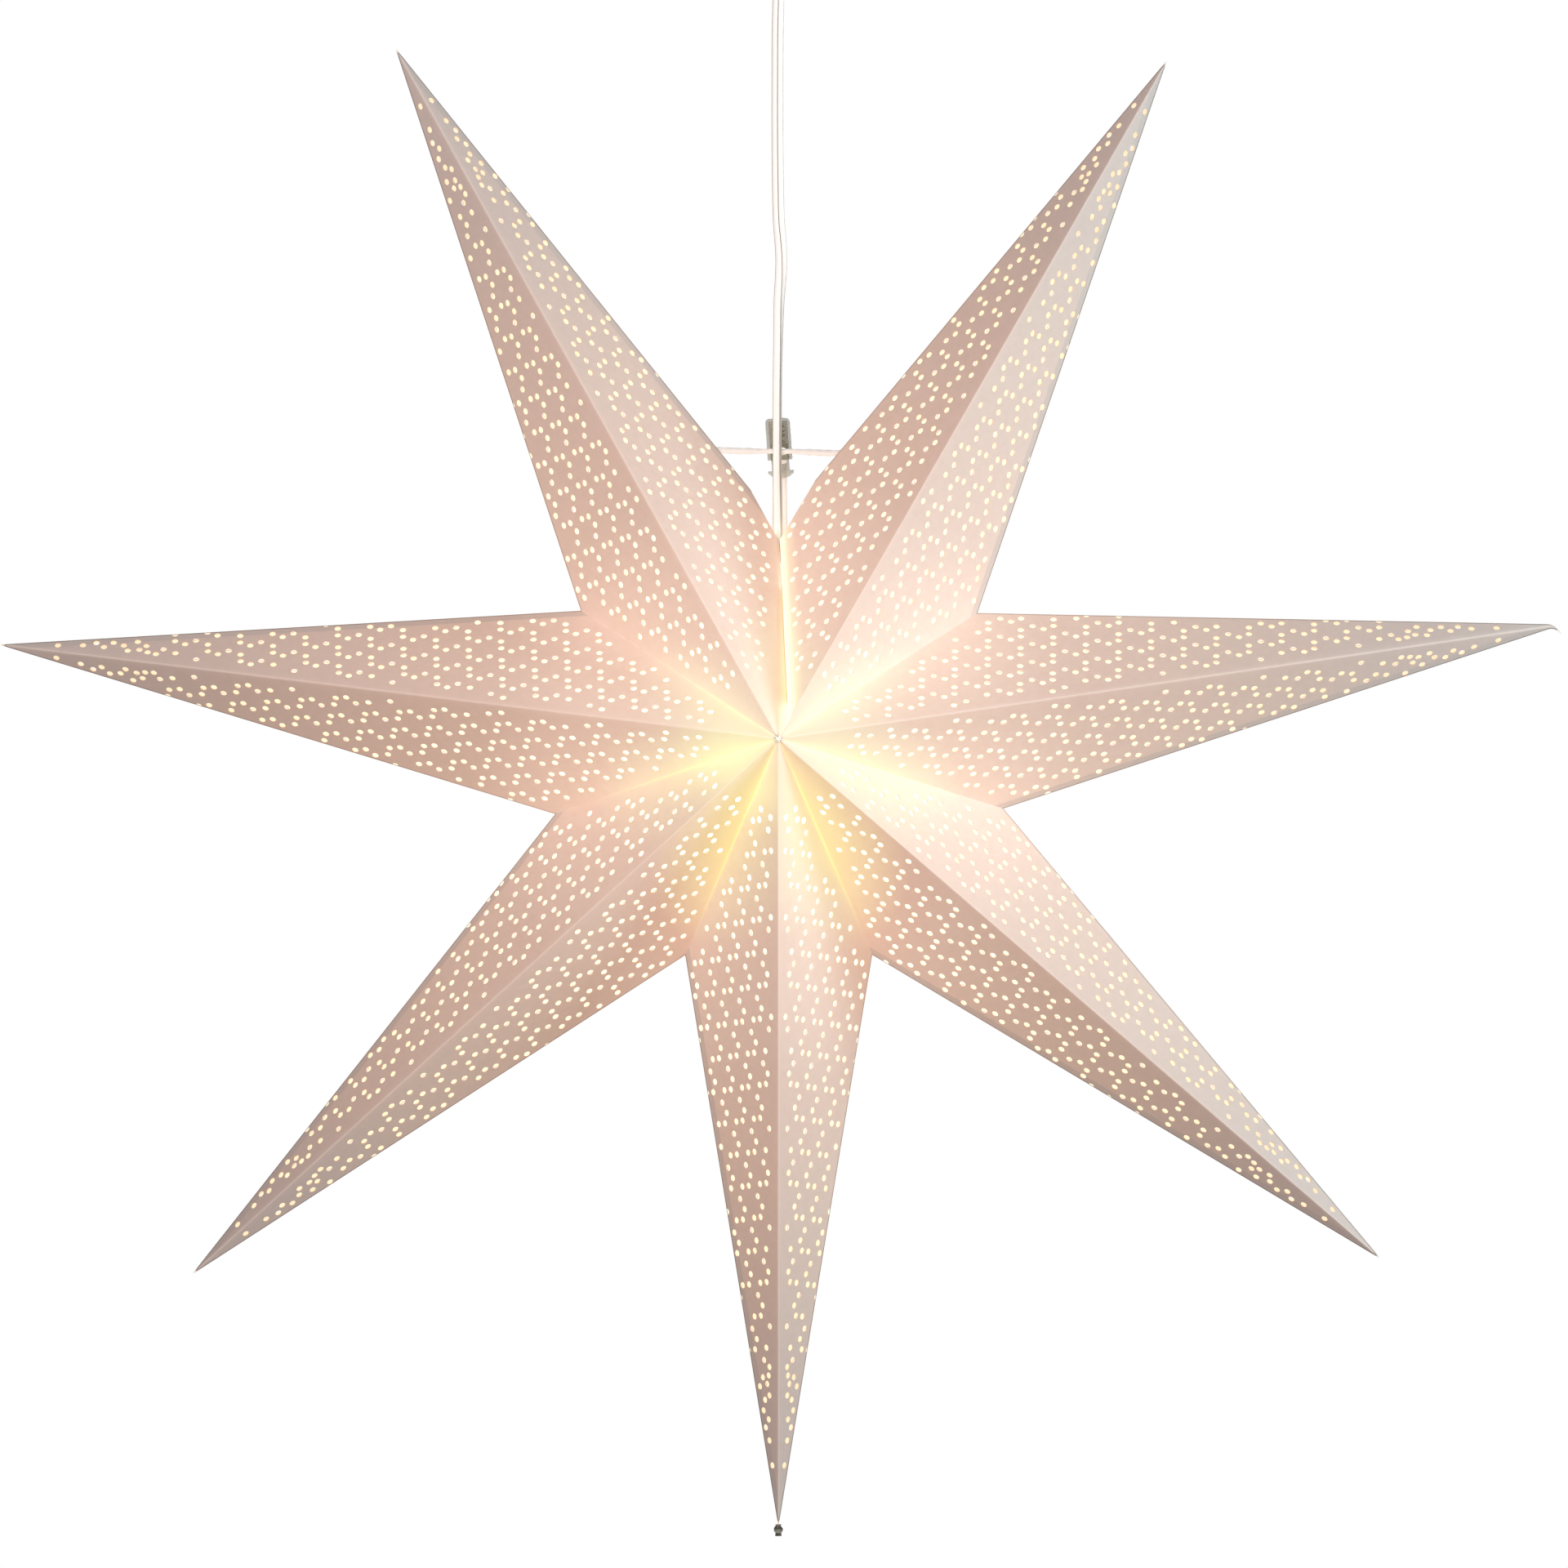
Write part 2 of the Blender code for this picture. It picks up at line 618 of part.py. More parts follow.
def add_cord_lock(clear_plastic, brass):
    """The spring cord lock: a barrel, a plunger with a domed button, and the spring in between."""
    frame = bpy.data.objects.new("cord_lock_frame", None)
    bpy.context.scene.collection.objects.link(frame)
    frame.location = (LOCK_CENTRE.x, LOCK_CENTRE.y, STAR_HEIGHT + LOCK_CENTRE.z)
    frame.rotation_euler = (0.0, math.radians(-LOCK_TILT), 0.0)

    roof = LOCK_TOP - LOCK_ROOF
    barrel = [(0, LOCK_TOP)]
    barrel += arc((LOCK_RADIUS - LOCK_CORNER, LOCK_TOP - LOCK_CORNER), LOCK_CORNER, 90, 0, 4)
    barrel += [(LOCK_RADIUS, LOCK_FOOT + LOCK_EDGE), (LOCK_RADIUS - LOCK_EDGE, LOCK_FOOT)]
    barrel += [(LOCK_BORE, LOCK_FOOT), (LOCK_BORE, roof), (0, roof)]
    window = slot_outline(SLOT_WIDTH, -SLOT_HEIGHT / 2, SLOT_HEIGHT / 2)
    pieces = slotted("cord_lock_barrel", barrel, window, clear_plastic)

    plunger = [(0, PIN_TOP), (PIN_RADIUS, PIN_TOP), (PIN_RADIUS, STEM_TOP)]
    plunger += [(STEM_RADIUS - LOCK_EDGE, STEM_TOP), (STEM_RADIUS, STEM_TOP - LOCK_EDGE)]
    plunger += [(STEM_RADIUS, BUTTON_HEIGHT)]
    plunger += [(BUTTON_RADIUS, BUTTON_HEIGHT), (BUTTON_RADIUS, BUTTON_HEIGHT - BUTTON_RIM)]
    plunger += arc((0, BUTTON_HEIGHT + BUTTON_RISE), BUTTON_DOME, -45, -85, 6)
    plunger += [(0, BUTTON_HEIGHT + BUTTON_RISE - BUTTON_DOME)]
    travel = slot_outline(SLOT_WIDTH - 2 * LOCK_EDGE, -SLOT_HEIGHT / 2 - LOCK_TRAVEL, SLOT_HEIGHT / 2)
    pieces += slotted("cord_lock_plunger", plunger, travel, clear_plastic)

    low = STEM_TOP + GAP + SPRING_WIRE
    high = roof - GAP - SPRING_WIRE
    count = round(SPRING_TURNS * 12)
    helix = []
    for k in range(count + 1):
        turn = math.tau * SPRING_TURNS * k / count
        height = low + (high - low) * k / count
        helix.append(Vector((SPRING_RADIUS * math.cos(turn), SPRING_RADIUS * math.sin(turn), height)))
    pieces.append(tube("cord_lock_spring", helix, SPRING_WIRE, brass))
    for piece in pieces:
        piece.parent = frame


def add_ceiling_plate(steel):
    """The round plate that screws to the ceiling, with two lugs that the cup's screws go into."""
    disc = cylinder_mesh("ceiling_plate", PLATE_RADIUS, PLATE_THICKNESS, steps=48)
    disc.transform(Matrix.Translation((0.0, 0.0, -PLATE_THICKNESS / 2)))
    plate = placed("ceiling_plate", disc, steel)
    lug_x = PLATE_RADIUS - LUG_INSET
    for name, side in (("left", -1), ("right", 1)):
        lug_place = (side * lug_x, 0.0, -LUG_SIZE[2] / 2 - 1 * MM)
        lug = cutter(f"lug_{name}", box_mesh(f"lug_{name}", LUG_SIZE), lug_place)
        boolean(plate, lug, "UNION")
        hole = cylinder_mesh(f"lug_hole_{name}", CUP_SCREW_RADIUS + GAP, 8 * MM, "X")
        boolean(plate, cutter(f"lug_hole_{name}", hole, (side * lug_x, 0.0, CUP_SCREW_HEIGHT)))
        bolt = cylinder_mesh(f"plate_hole_{name}", PLATE_HOLE_RADIUS, 8 * MM)
        boolean(plate, cutter(f"plate_hole_{name}", bolt, (0.0, side * PLATE_HOLE_Y, 0.0)))


def add_ceiling_cup(plastic):
    """The cup that covers the plate and the terminals, with an outlet in its base."""
    corner = (CUP_RADIUS - CUP_CORNER, CUP_BOTTOM + CUP_CORNER)
    profile = [(CUP_RADIUS, CUP_TOP)]
    profile += arc(corner, CUP_CORNER, 0, -90, 7)
    profile += [(OUTLET_RADIUS, CUP_BOTTOM), (OUTLET_RADIUS, CUP_BOTTOM + CUP_WALL)]
    profile += arc(corner, CUP_CORNER - CUP_WALL, -90, 0, 7)
    profile += [(CUP_RADIUS - CUP_WALL, CUP_TOP)]
    cup = placed("ceiling_cup", turned_mesh("ceiling_cup", profile, 40), plastic)
    for name, side in (("left", -1), ("right", 1)):
        hole = cylinder_mesh(f"cup_hole_{name}", CUP_SCREW_RADIUS + GAP, 8 * MM, "X")
        boolean(cup, cutter(f"cup_hole_{name}", hole, (side * CUP_RADIUS, 0.0, CUP_SCREW_HEIGHT)))


def add_cup_screws(steel):
    """Two pan-head screws that hold the cup to the plate's lugs."""
    profile = scaled(SCREW_HEAD)
    top = profile[0][1]
    under_head = profile[-1][1]
    profile += [(CUP_SCREW_RADIUS, under_head), (CUP_SCREW_RADIUS, -SCREW_END), (0, -SCREW_END - 0.8 * MM)]
    for name, side in (("left", -1), ("right", 1)):
        mesh = turned_mesh(f"cup_screw_{name}", profile, 16)
        mesh.transform(Matrix.Rotation(side * math.pi / 2, 4, "Y"))
        screw = placed(f"cup_screw_{name}", mesh, steel, (side * CUP_RADIUS, 0.0, CUP_SCREW_HEIGHT))
        place = (side * (CUP_RADIUS + top), 0.0, CUP_SCREW_HEIGHT)
        slot = cutter(f"cup_screw_slot_{name}", box_mesh(f"cup_screw_slot_{name}", SCREW_SLOT), place)
        boolean(screw, slot)


def add_ceiling_inner(plastic, steel):
    """Inside the cup: the terminal block under the plate, and the clamp that takes the cord's pull."""
    block_height = -PLATE_THICKNESS - GAP - BLOCK_SIZE[2] / 2
    block_mesh = box_mesh("terminal_block", BLOCK_SIZE, BOX_EDGE)
    block = placed("terminal_block", block_mesh, plastic, (0.0, 0.0, block_height))
    for name, x in (("live", -BLOCK_HOLE_X), ("neutral", BLOCK_HOLE_X)):
        wire_hole = cylinder_mesh(f"terminal_{name}", BLOCK_HOLE_RADIUS, 20 * MM, "Y")
        boolean(block, cutter(f"terminal_{name}", wire_hole, (x, 0.0, block_height - 2.5 * MM)))
    clamp_mesh = box_mesh("cord_clamp", CLAMP_SIZE, BOX_EDGE)
    placed("cord_clamp", clamp_mesh, steel, (0.0, 0.0, CUP_BOTTOM + CLAMP_RISE))


def add_sleeve(rubber):
    """The tapered strain relief in the cup's outlet. It swings sideways with the cord."""
    collar = CUP_BOTTOM + CUP_WALL + COLLAR_RISE
    profile = [
        (0, collar + COLLAR_HEIGHT),
        (COLLAR_RADIUS - COLLAR_EDGE, collar + COLLAR_HEIGHT),
        (COLLAR_RADIUS, collar + COLLAR_HEIGHT - COLLAR_EDGE),
        (COLLAR_RADIUS, collar),
        (SLEEVE_NECK, collar),
        (SLEEVE_NECK, CUP_BOTTOM - 1.6 * MM),
        (SLEEVE_SHOULDER, CUP_BOTTOM - 2.6 * MM),
        (SLEEVE_TIP, SLEEVE_BOTTOM),
        (CORD_SOCKET, SLEEVE_BOTTOM),
        (CORD_SOCKET, SLEEVE_BOTTOM + SLEEVE_SOCKET),
        (0, SLEEVE_BOTTOM + SLEEVE_SOCKET),
    ]
    placed("cord_sleeve", turned_mesh("cord_sleeve", profile, 24), rubber)


def main():
    """Build the lantern."""
    clear_scene()
    paper = material("star_paper", (0.86, 0.80, 0.76), 0.85)
    white_plastic = material("white_plastic", (0.90, 0.90, 0.88), 0.4)
    cord_plastic = material("cord_plastic", (0.93, 0.92, 0.90), 0.45)
    clear_plastic = material("clear_plastic", (0.72, 0.71, 0.66), 0.25, alpha=0.6)
    cotton = material("white_string", (0.92, 0.89, 0.86), 0.85)
    brass = material("brass", (0.80, 0.62, 0.30), 0.3, 1.0)
    steel = material("steel", (0.62, 0.62, 0.63), 0.3, 1.0)
    nickel = material("nickel", (0.70, 0.69, 0.66), 0.28, 1.0)
    black = material("black_glass", (0.03, 0.03, 0.03), 0.2)
    glass = material("bulb_glass", (1.0, 0.97, 0.90), 0.05, alpha=0.35)
    filament = material("filament", (1.0, 0.75, 0.35), 0.5)

    add_star(paper)
    add_seam_flaps(paper)
    add_bead(steel)
    add_strings(cotton)
    punch_string_holes()
    add_cord_lock(clear_plastic, brass)
    add_cord(cord_plastic)
    add_holder(white_plastic, brass)
    add_bulb(glass, nickel, brass, black, filament)
    add_ceiling_plate(steel)
    add_ceiling_cup(white_plastic)
    add_cup_screws(steel)
    add_ceiling_inner(white_plastic, steel)
    add_sleeve(white_plastic)


main()
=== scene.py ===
"""Looks of the lit paper star: punched and folded paper, cord, strings, cord lock, lamp and ceiling fitting.

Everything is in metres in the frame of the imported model: +Z up, the front towards -Y, and the origin at the
centre of the ceiling plate's top face.
"""

import math

import bmesh
import bpy
import numpy as np
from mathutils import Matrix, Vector, geometry

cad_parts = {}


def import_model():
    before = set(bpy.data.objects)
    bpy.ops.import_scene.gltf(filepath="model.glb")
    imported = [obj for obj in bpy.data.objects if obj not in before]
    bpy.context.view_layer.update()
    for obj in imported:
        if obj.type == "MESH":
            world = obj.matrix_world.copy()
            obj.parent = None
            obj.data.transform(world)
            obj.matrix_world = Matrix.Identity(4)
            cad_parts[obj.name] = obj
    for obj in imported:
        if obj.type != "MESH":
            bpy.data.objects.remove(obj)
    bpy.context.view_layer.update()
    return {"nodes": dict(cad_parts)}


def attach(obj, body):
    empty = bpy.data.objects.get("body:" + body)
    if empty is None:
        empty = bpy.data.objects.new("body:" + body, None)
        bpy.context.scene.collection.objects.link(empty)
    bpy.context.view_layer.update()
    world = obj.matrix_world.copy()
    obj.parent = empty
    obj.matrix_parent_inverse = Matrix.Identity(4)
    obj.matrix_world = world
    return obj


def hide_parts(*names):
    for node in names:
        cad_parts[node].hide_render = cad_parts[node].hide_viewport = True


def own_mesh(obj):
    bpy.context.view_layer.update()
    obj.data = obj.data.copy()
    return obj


MM = 0.001

# The star, as the CAD model has it, except that the seam's right edge stands back less and the slit is
# narrower. Tips are (angle in degrees, radius in metres). Cuts, and where a flap or flange starts and ends,
# are shares of the edge that they are on.
STAR_HEIGHT = -0.420
HALF_DEPTH = 0.068
TIPS = (
    (60.2, 0.3466),
    (8.3, 0.3513),
    (-40.8, 0.3527),
    (-90.0, 0.3491),
    (-137.6, 0.3520),
    (-186.9, 0.3480),
    (-241.0, 0.3502),
)
NOTCH_ANGLES = (32.3, -17.2, -66.5, -113.3, -161.4, -213.0)
NOTCH_RADIUS = 0.1044
SEAM_ANGLE = 90.0
SEAM_RADIUS = 0.095
SEAM_CUT = 0.0737
SIDE_CUT_LEFT = 0.0725
SIDE_CUT_RIGHT = 0.0968
SEAM_INSET_RIGHT = 0.0009
FLAP_TOP = 0.26
FLAP_BOTTOM = 0.90
FLAP_WIDTH = 0.0065

# Paper. SEAM_START and OVERLAP_ALONG are measured from the star's apex, and TIP_ROWS back from a point's tip.
PAPER = 0.3 * MM
VALLEY_INSET = 0.12 * MM
FOLD_ROWS = (0.45 * MM, 1.0 * MM)
FOLD_DEPTH = 0.28 * MM
TAB_WIDTH = 3.6 * MM
SEAM_START = 0.0098
OVERLAP_ALONG = 0.0166
OVERLAP_WIDTH = 0.0082
TIP_ROWS = (0.0015, 0.003, 0.0045, 0.006)
TIP_CURL = 0.0042
CURLED_POINT = 1
FLANGE_WIDTH = 5.0 * MM
FLANGE_TOP = 0.04
FLANGE_BOTTOM = 0.93
FLANGE_TAPER = 0.6
FLANGE_GAP = 0.3 * MM

# What the paper's material reads at each point of the mesh. FAR stands for a distance that doesn't matter.
DISTANCES = ("ridge_distance", "tab_distance", "edge_distance", "valley_distance", "seam_distance")
LAYERS = (*DISTANCES, "gold", "flare", "dull")
FAR = 1.0
FLANGE_LAYERS = (*[FAR] * len(DISTANCES), 0.0, 0.0, 0.0)
BLACK = (0.0, 0.0, 0.0)

# The finishes of a folded sheet, in the order of its material slots.
OUTSIDE, INSIDE, EDGE, RIM = range(4)

# How a panel glows near the lamp, by its point and side: how golden, how much brighter right beside the
# star's middle, and how much painted shade dims its glow in its middle stretch.
PANEL_GLOW = {
    (1, "left"): (0.0, 0.25, 0.0),
    (1, "right"): (0.0, 0.15, 0.0),
    (2, "left"): (0.0, 0.4, 0.0),
    (2, "right"): (0.15, 0.4, 0.0),
    (3, "left"): (0.1, 0.0, 0.0),
    (3, "right"): (0.8, 0.0, 0.15),
    (4, "left"): (0.15, 0.0, 0.0),
    (4, "right"): (0.3, 0.3, 0.9),
    (5, "left"): (0.7, 0.35, 0.0),
    (5, "right"): (0.2, 1.0, 0.5),
    (6, "left"): (0.1, 1.0, 0.0),
    (6, "right"): (0.0, 0.75, 0.0),
}

# Punched holes: groups of four that repeat on a slanting lattice, as places along and from the ridge. The
# back half's pattern is shifted.
HOLE_RADIUS = 1.45 * MM
HOLE_SIDES = 12
FIRST_HOLE = Vector((96.95, 8.97)) * MM
LATTICE_A = Vector((16.00, 3.93)) * MM
LATTICE_B = Vector((12.80, -8.08)) * MM
GROUP = [Vector(place) * MM for place in ((0.0, 0.0), (5.86, 1.58), (10.02, -1.53), (14.91, -0.35))]
LATTICE_REACH = 26
BACK_SHIFT = Vector((7.2, 3.1)) * MM

# Beyond TIP_START the front half has these holes instead, in millimetres along and from the ridge.
TIP_START = 283.5 * MM
TIP_HOLES = (
    (284.5, 6.0),
    (287.0, 16.5),
    (288.5, 6.5),
    (290.0, 10.5),
    (292.5, 7.5),
    (294.5, 12.5),
    (297.5, 6.0),
    (300.0, 9.0),
    (305.0, 10.0),
    (308.5, 6.5),
    (312.5, 8.5),
    (318.0, 6.0),
    (329.0, 4.0),
)
TIP_SIDE_MARGIN = 1.7 * MM

# How far the centres of holes stay from the creases, the star's middle and the edges. BITE is how far one
# may lie past an edge.
RIDGE_MARGIN = 4.8 * MM
VALLEY_MARGIN = 5.0 * MM
CENTRE_MARGIN = 33.0 * MM
BITE = 0.7 * MM
SIDE_MARGIN = 2.0 * MM
SEAM_SIDE_MARGIN = 0.5 * MM

# Lamp cord: flat twin lead, 5.2 by 3.2 mm. Points are x, y and the height above the star's centre, in metres.
LOBE_RADIUS = 0.0016
LOBE_OFFSET = 0.0010
CORD_ROUTE = (
    (0.0, 0.0, 0.0768),
    (0.0, 0.0, 0.0880),
    (-0.0002, 0.0, 0.1040),
    (-0.0005, 0.0, 0.1240),
    (-0.0005, 0.0, 0.1420),
    (-0.0004, 0.0, 0.1600),
    (-0.0001, 0.0, 0.1780),
    (0.0003, 0.0, 0.1940),
    (0.0010, 0.0, 0.2040),
    (0.0013, 0.0, 0.2120),
    (0.0010, 0.0, 0.2200),
    (0.0002, 0.0, 0.2300),
    (-0.0002, 0.0, 0.2460),
    (-0.0004, 0.0, 0.2680),
    (-0.0004, 0.0, 0.2920),
    (-0.0003, 0.0, 0.3140),
    (0.0, 0.0, 0.3280),
    (0.0, 0.0, 0.3382),
)
TWIST_LOW = 0.165
TWIST_HIGH = 0.232
LOWER_TURN = math.radians(64.0)
CORD_FOOT = 0.094
CORD_STEP = 2.0 * MM
GROOVE_ANGLE = 4.0

# How much painted shade darkens the lead in its groove, on its two sides, on its rear core and at its foot.
GROOVE_SHADE = 0.85
SIDE_SHADE = 0.85
REAR_SHADE = 0.5
FOOT_SHADE = 0.8

# Tie strings and the cord lock. A value for each string is keyed by its side: -1 is left and 1 is right.
# KNOT_PLACE is the point of a string's route that has its knot. The spring's ends are measured up the lock's
# axis from the strings.
STRING_START = {-1: 0.0400, 1: 0.0405}
STRING_RISE = {-1: 0.0013, 1: -0.0009}
STRING_TAIL = {-1: 0.056, 1: 0.062}
STRING_SAG = 0.00035
STRING_BEND = 0.0044
STRING_BACK = 0.0245
STRING_DROP = 0.005
STRING_DRIFT = 0.0015
STRING_STEP = 0.6 * MM
THIN_REACH = 0.009
THIN_FADE = 0.004
KNOT_PLACE = -8
TAIL_STEP = 0.0035
STRING_HOLE_MARGIN = 0.8 * MM
STRING_HOLE_RADIUS = 1.7 * MM
STRING_RADIUS = 0.0011
STRING_WIDE = 0.0014
STRING_PITCH = 0.0025
STRING_FRONT = 0.0045
STRING_HEIGHT = 0.1278
LOCK_X = 0.0006
LOCK_Y = 0.0116
LOCK_AXIS = Vector((-0.069756, 0.0, 0.997564))
SPRING_WIRE = 0.00035
SPRING_RADIUS = 0.0027
SPRING_TURNS = 3.5
SPRING_LOW = 0.00405
SPRING_HIGH = 0.01285

# Lamp. Heights are above the star's centre, and a shoulder's places are (radius, height).
BULB_RADIUS = 0.0225
BULB_CENTRE = -0.020
BULB_NECK = 0.0059
NECK_LOW = 0.009
NECK_TOP = 0.020
GLASS = 0.8 * MM
SHOULDER = ((0.0084, 0.0004), (0.0066, 0.0045))
SHOULDER_INSIDE = (0.0058, 0.0043)
SHOULDER_ANGLE = 62
GLOW_PLACE = Vector((0.0, 0.0, STAR_HEIGHT - 0.016))

# Camera and stage.
VIEW_WIDTH = 0.696
VIEW_DISTANCE = 7.0
VIEW_CENTRE = Vector((0.0025, 0.0, -0.440))
SENSOR = 36.0
FLOOR_HEIGHT = -1.75
FLOOR_RADIUS = 6.0

# Soft lights that face the star: name, place, size in metres, power in watts and colour.
LIGHTS = (
    ("key", (1.02, -0.37, -0.27), 0.35, 5.9, (0.80, 0.93, 0.965)),
    ("fill", (-0.34, -0.94, 0.04), 0.35, 4.3, (0.98, 0.835, 0.82)),
    ("low", (0.0, -2.47, -1.60), 0.8, 24.8, (0.98, 0.80, 0.735)),
    ("back", (0.6, 2.8, 0.3), 1.6, 42.0, (1.0, 0.98, 0.96)),
)


def clamped(value):
    """A value held between 0 and 1."""
    return min(max(value, 0.0), 1.0)


# -------------------- material helpers


def new_material(name, colour, roughness, metallic=0.0):
    """A Principled material. Returns the material and its shader."""
    made = bpy.data.materials.new(name)
    made.use_nodes = True
    shader = made.node_tree.nodes["Principled BSDF"]
    shader.inputs["Base Color"].default_value = (*colour, 1.0)
    shader.inputs["Roughness"].default_value = roughness
    shader.inputs["Metallic"].default_value = metallic
    return made, shader


def node(near, kind, values=None, **settings):
    """A new shader node in the tree of a node or socket, with its settings and its input values."""
    made = near.id_data.nodes.new("ShaderNode" + kind)
    for key, value in settings.items():
        setattr(made, key, value)
    for key, value in (values or {}).items():
        made.inputs[key].default_value = value
    return made


def link(source, target):
    """Link one socket to another in the same tree."""
    target.id_data.links.new(source, target)


def noise(place, scale, detail=3.0, roughness=0.5):
    """A noise texture's value at a place."""
    made = node(place, "TexNoise", {"Scale": scale, "Detail": detail, "Roughness": roughness})
    link(place, made.inputs["Vector"])
    return made.outputs["Fac"]


def attribute(shader, name):
    """A value that the mesh carries at its points."""
    return node(shader, "Attribute", attribute_name=name).outputs["Fac"]


def ramp(value, stops):
    """A colour ramp from (position, colour) stops."""
    made = node(value, "ValToRGB")
    bar = made.color_ramp.elements
    for element, (position, colour) in zip(bar, (stops[0], stops[-1])):
        element.position = position
        element.color = (*colour, 1.0)
    for position, colour in stops[1:-1]:
        bar.new(position).color = (*colour, 1.0)
    link(value, made.inputs["Fac"])
    return made.outputs["Color"]


def mottled(cloud, first, second):
    """A colour that a noise value varies between two."""
    return ramp(cloud, ((0.3, first), (0.7, second)))


def map_range(value, low, high, out_low, out_high, smooth=True):
    """A value mapped from one range to another, and clamped."""
    made = node(value, "MapRange", {1: low, 2: high, 3: out_low, 4: out_high})
    made.interpolation_type = "SMOOTHSTEP" if smooth else "LINEAR"
    link(value, made.inputs[0])
    return made.outputs[0]


def multiply(first, second):
    """The product of two values."""
    made = node(first, "Math", operation="MULTIPLY")
    link(first, made.inputs[0])
    link(second, made.inputs[1])
    return made.outputs[0]


def mix_colours(share, first, second, blend="MIX"):
    """A mix of two colours, each a socket or an RGB tuple. The share or the first colour is a socket."""
    made = node(share if isinstance(first, tuple) else first, "Mix", data_type="RGBA", blend_type=blend)
    for k, item in ((0, share), (6, first), (7, second)):
        if isinstance(item, tuple):
            made.inputs[k].default_value = (*item, 1.0)
        elif isinstance(item, float):
            made.inputs[k].default_value = item
        else:
            link(item, made.inputs[k])
    return made.outputs[2]


def paint(shader, colour):
    """Give a surface its colour."""
    link(colour, shader.inputs["Base Color"])


def give_off(shader, colour, strength=1.0):
    """Let a surface give off a colour as light."""
    link(colour, shader.inputs["Emission Color"])
    shader.inputs["Emission Strength"].default_value = strength


def bump(shader, height, strength, distance):
    """Bump from a height value."""
    made = node(shader, "Bump", {"Strength": strength, "Distance": distance})
    link(height, made.inputs["Height"])
    link(made.outputs["Normal"], shader.inputs["Normal"])


def object_place(shader):
    """Coordinates that stay with the piece when it moves, in metres."""
    return node(shader, "TexCoord").outputs["Object"]


def lamp_distance(place):
    """Distance from the lamp in metres."""
    made = node(place, "VectorMath", {1: GLOW_PLACE}, operation="DISTANCE")
    link(place, made.inputs[0])
    return made.outputs["Value"]


def axis_distance(place):
    """Distance from the level line through the star's two apexes, in metres."""
    middle = (0.0, 0.0, -STAR_HEIGHT)
    flat = node(place, "VectorMath", {1: (1.0, 0.0, 1.0), 2: middle}, operation="MULTIPLY_ADD")
    link(place, flat.inputs[0])
    length = node(place, "VectorMath", operation="LENGTH")
    link(flat.outputs[0], length.inputs[0])
    return length.outputs["Value"]


# -------------------- materials


def paper_glow(shader, reach, middle, cloud):
    """Lamplight through the card. It fades away from the lamp, and differs from panel to panel near it."""
    far = map_range(reach, 0.0, 0.36, 0.0, 1.0, smooth=False)
    pale = (
        (0.15, (0.45, 0.39, 0.17)),
        (0.185, (0.4, 0.32, 0.185)),
        (0.235, (0.345, 0.2, 0.125)),
        (0.3, (0.295, 0.152, 0.093)),
        (0.38, (0.204, 0.087, 0.04)),
        (0.46, (0.172, 0.067, 0.027)),
        (0.55, (0.138, 0.052, 0.02)),
        (0.65, (0.103, 0.034, 0.008)),
        (0.78, (0.05, 0.01, 0.0)),
        (1.0, (0.01, 0.0, 0.0)),
    )
    golden = (
        (0.15, (0.47, 0.34, 0.02)),
        (0.185, (0.4, 0.24, 0.04)),
        (0.235, (0.24, 0.08, 0.03)),
        (0.3, (0.21, 0.095, 0.05)),
        (0.38, (0.185, 0.078, 0.034)),
        (0.55, (0.12, 0.045, 0.01)),
        (0.78, (0.04, 0.005, 0.0)),
        (1.0, (0.01, 0.0, 0.0)),
    )
    gold = attribute(shader, "gold")
    glow = mix_colours(gold, ramp(far, pale), ramp(far, golden))
    patches = ramp(cloud, ((0.25, (0.95, 0.95, 0.95)), (0.75, (1.04, 1.04, 1.04))))
    glow = mix_colours(1.0, glow, patches, "MULTIPLY")
    rise = map_range(middle, 0.020, 0.045, 0.0, 1.0)
    fall = map_range(middle, 0.100, 0.200, 1.0, 0.0)
    # Painted shade: the glow is dimmed in the middle stretch of some panels.
    dull = multiply(attribute(shader, "dull"), multiply(rise, fall))
    glow = mix_colours(dull, glow, (0.66, 0.60, 0.55), "MULTIPLY")
    flare = multiply(attribute(shader, "flare"), map_range(middle, 0.016, 0.054, 1.0, 0.0))
    glow = mix_colours(flare, glow, (0.10, 0.18, 0.04), "ADD")
    # Painted light: a faint yellow line along the valley creases near the lamp.
    crease = map_range(attribute(shader, "valley_distance"), 0.2 * MM, 1.3 * MM, 1.0, 0.0)
    near = map_range(reach, 0.045, 0.085, 1.0, 0.0)
    return mix_colours(multiply(crease, near), glow, (0.16, 0.14, 0.0), "ADD")


def seam_looks(shader, tone, glow):
    """Painted light right of the seam, and a painted orange-brown shade line along the edge left of it."""
    seam = map_range(attribute(shader, "seam_distance"), -12 * MM, 12 * MM, 0.0, 1.0, smooth=False)
    light = (
        (0.000, BLACK),
        (0.499, BLACK),
        (0.502, (0.50, 0.52, 0.38)),
        (0.570, (0.44, 0.44, 0.28)),
        (0.680, (0.16, 0.15, 0.06)),
        (0.850, BLACK),
        (1.000, BLACK),
    )
    # Painted shade: a dark orange-brown line along the edge of the panel left of the seam.
    line = ((0.0, BLACK), (0.44, BLACK), (0.494, (0.7, 0.7, 0.7)), (0.499, BLACK))
    glow = mix_colours(1.0, glow, ramp(seam, light), "ADD")
    tone = mix_colours(ramp(seam, line), tone, (0.62, 0.36, 0.22))
    return tone, glow


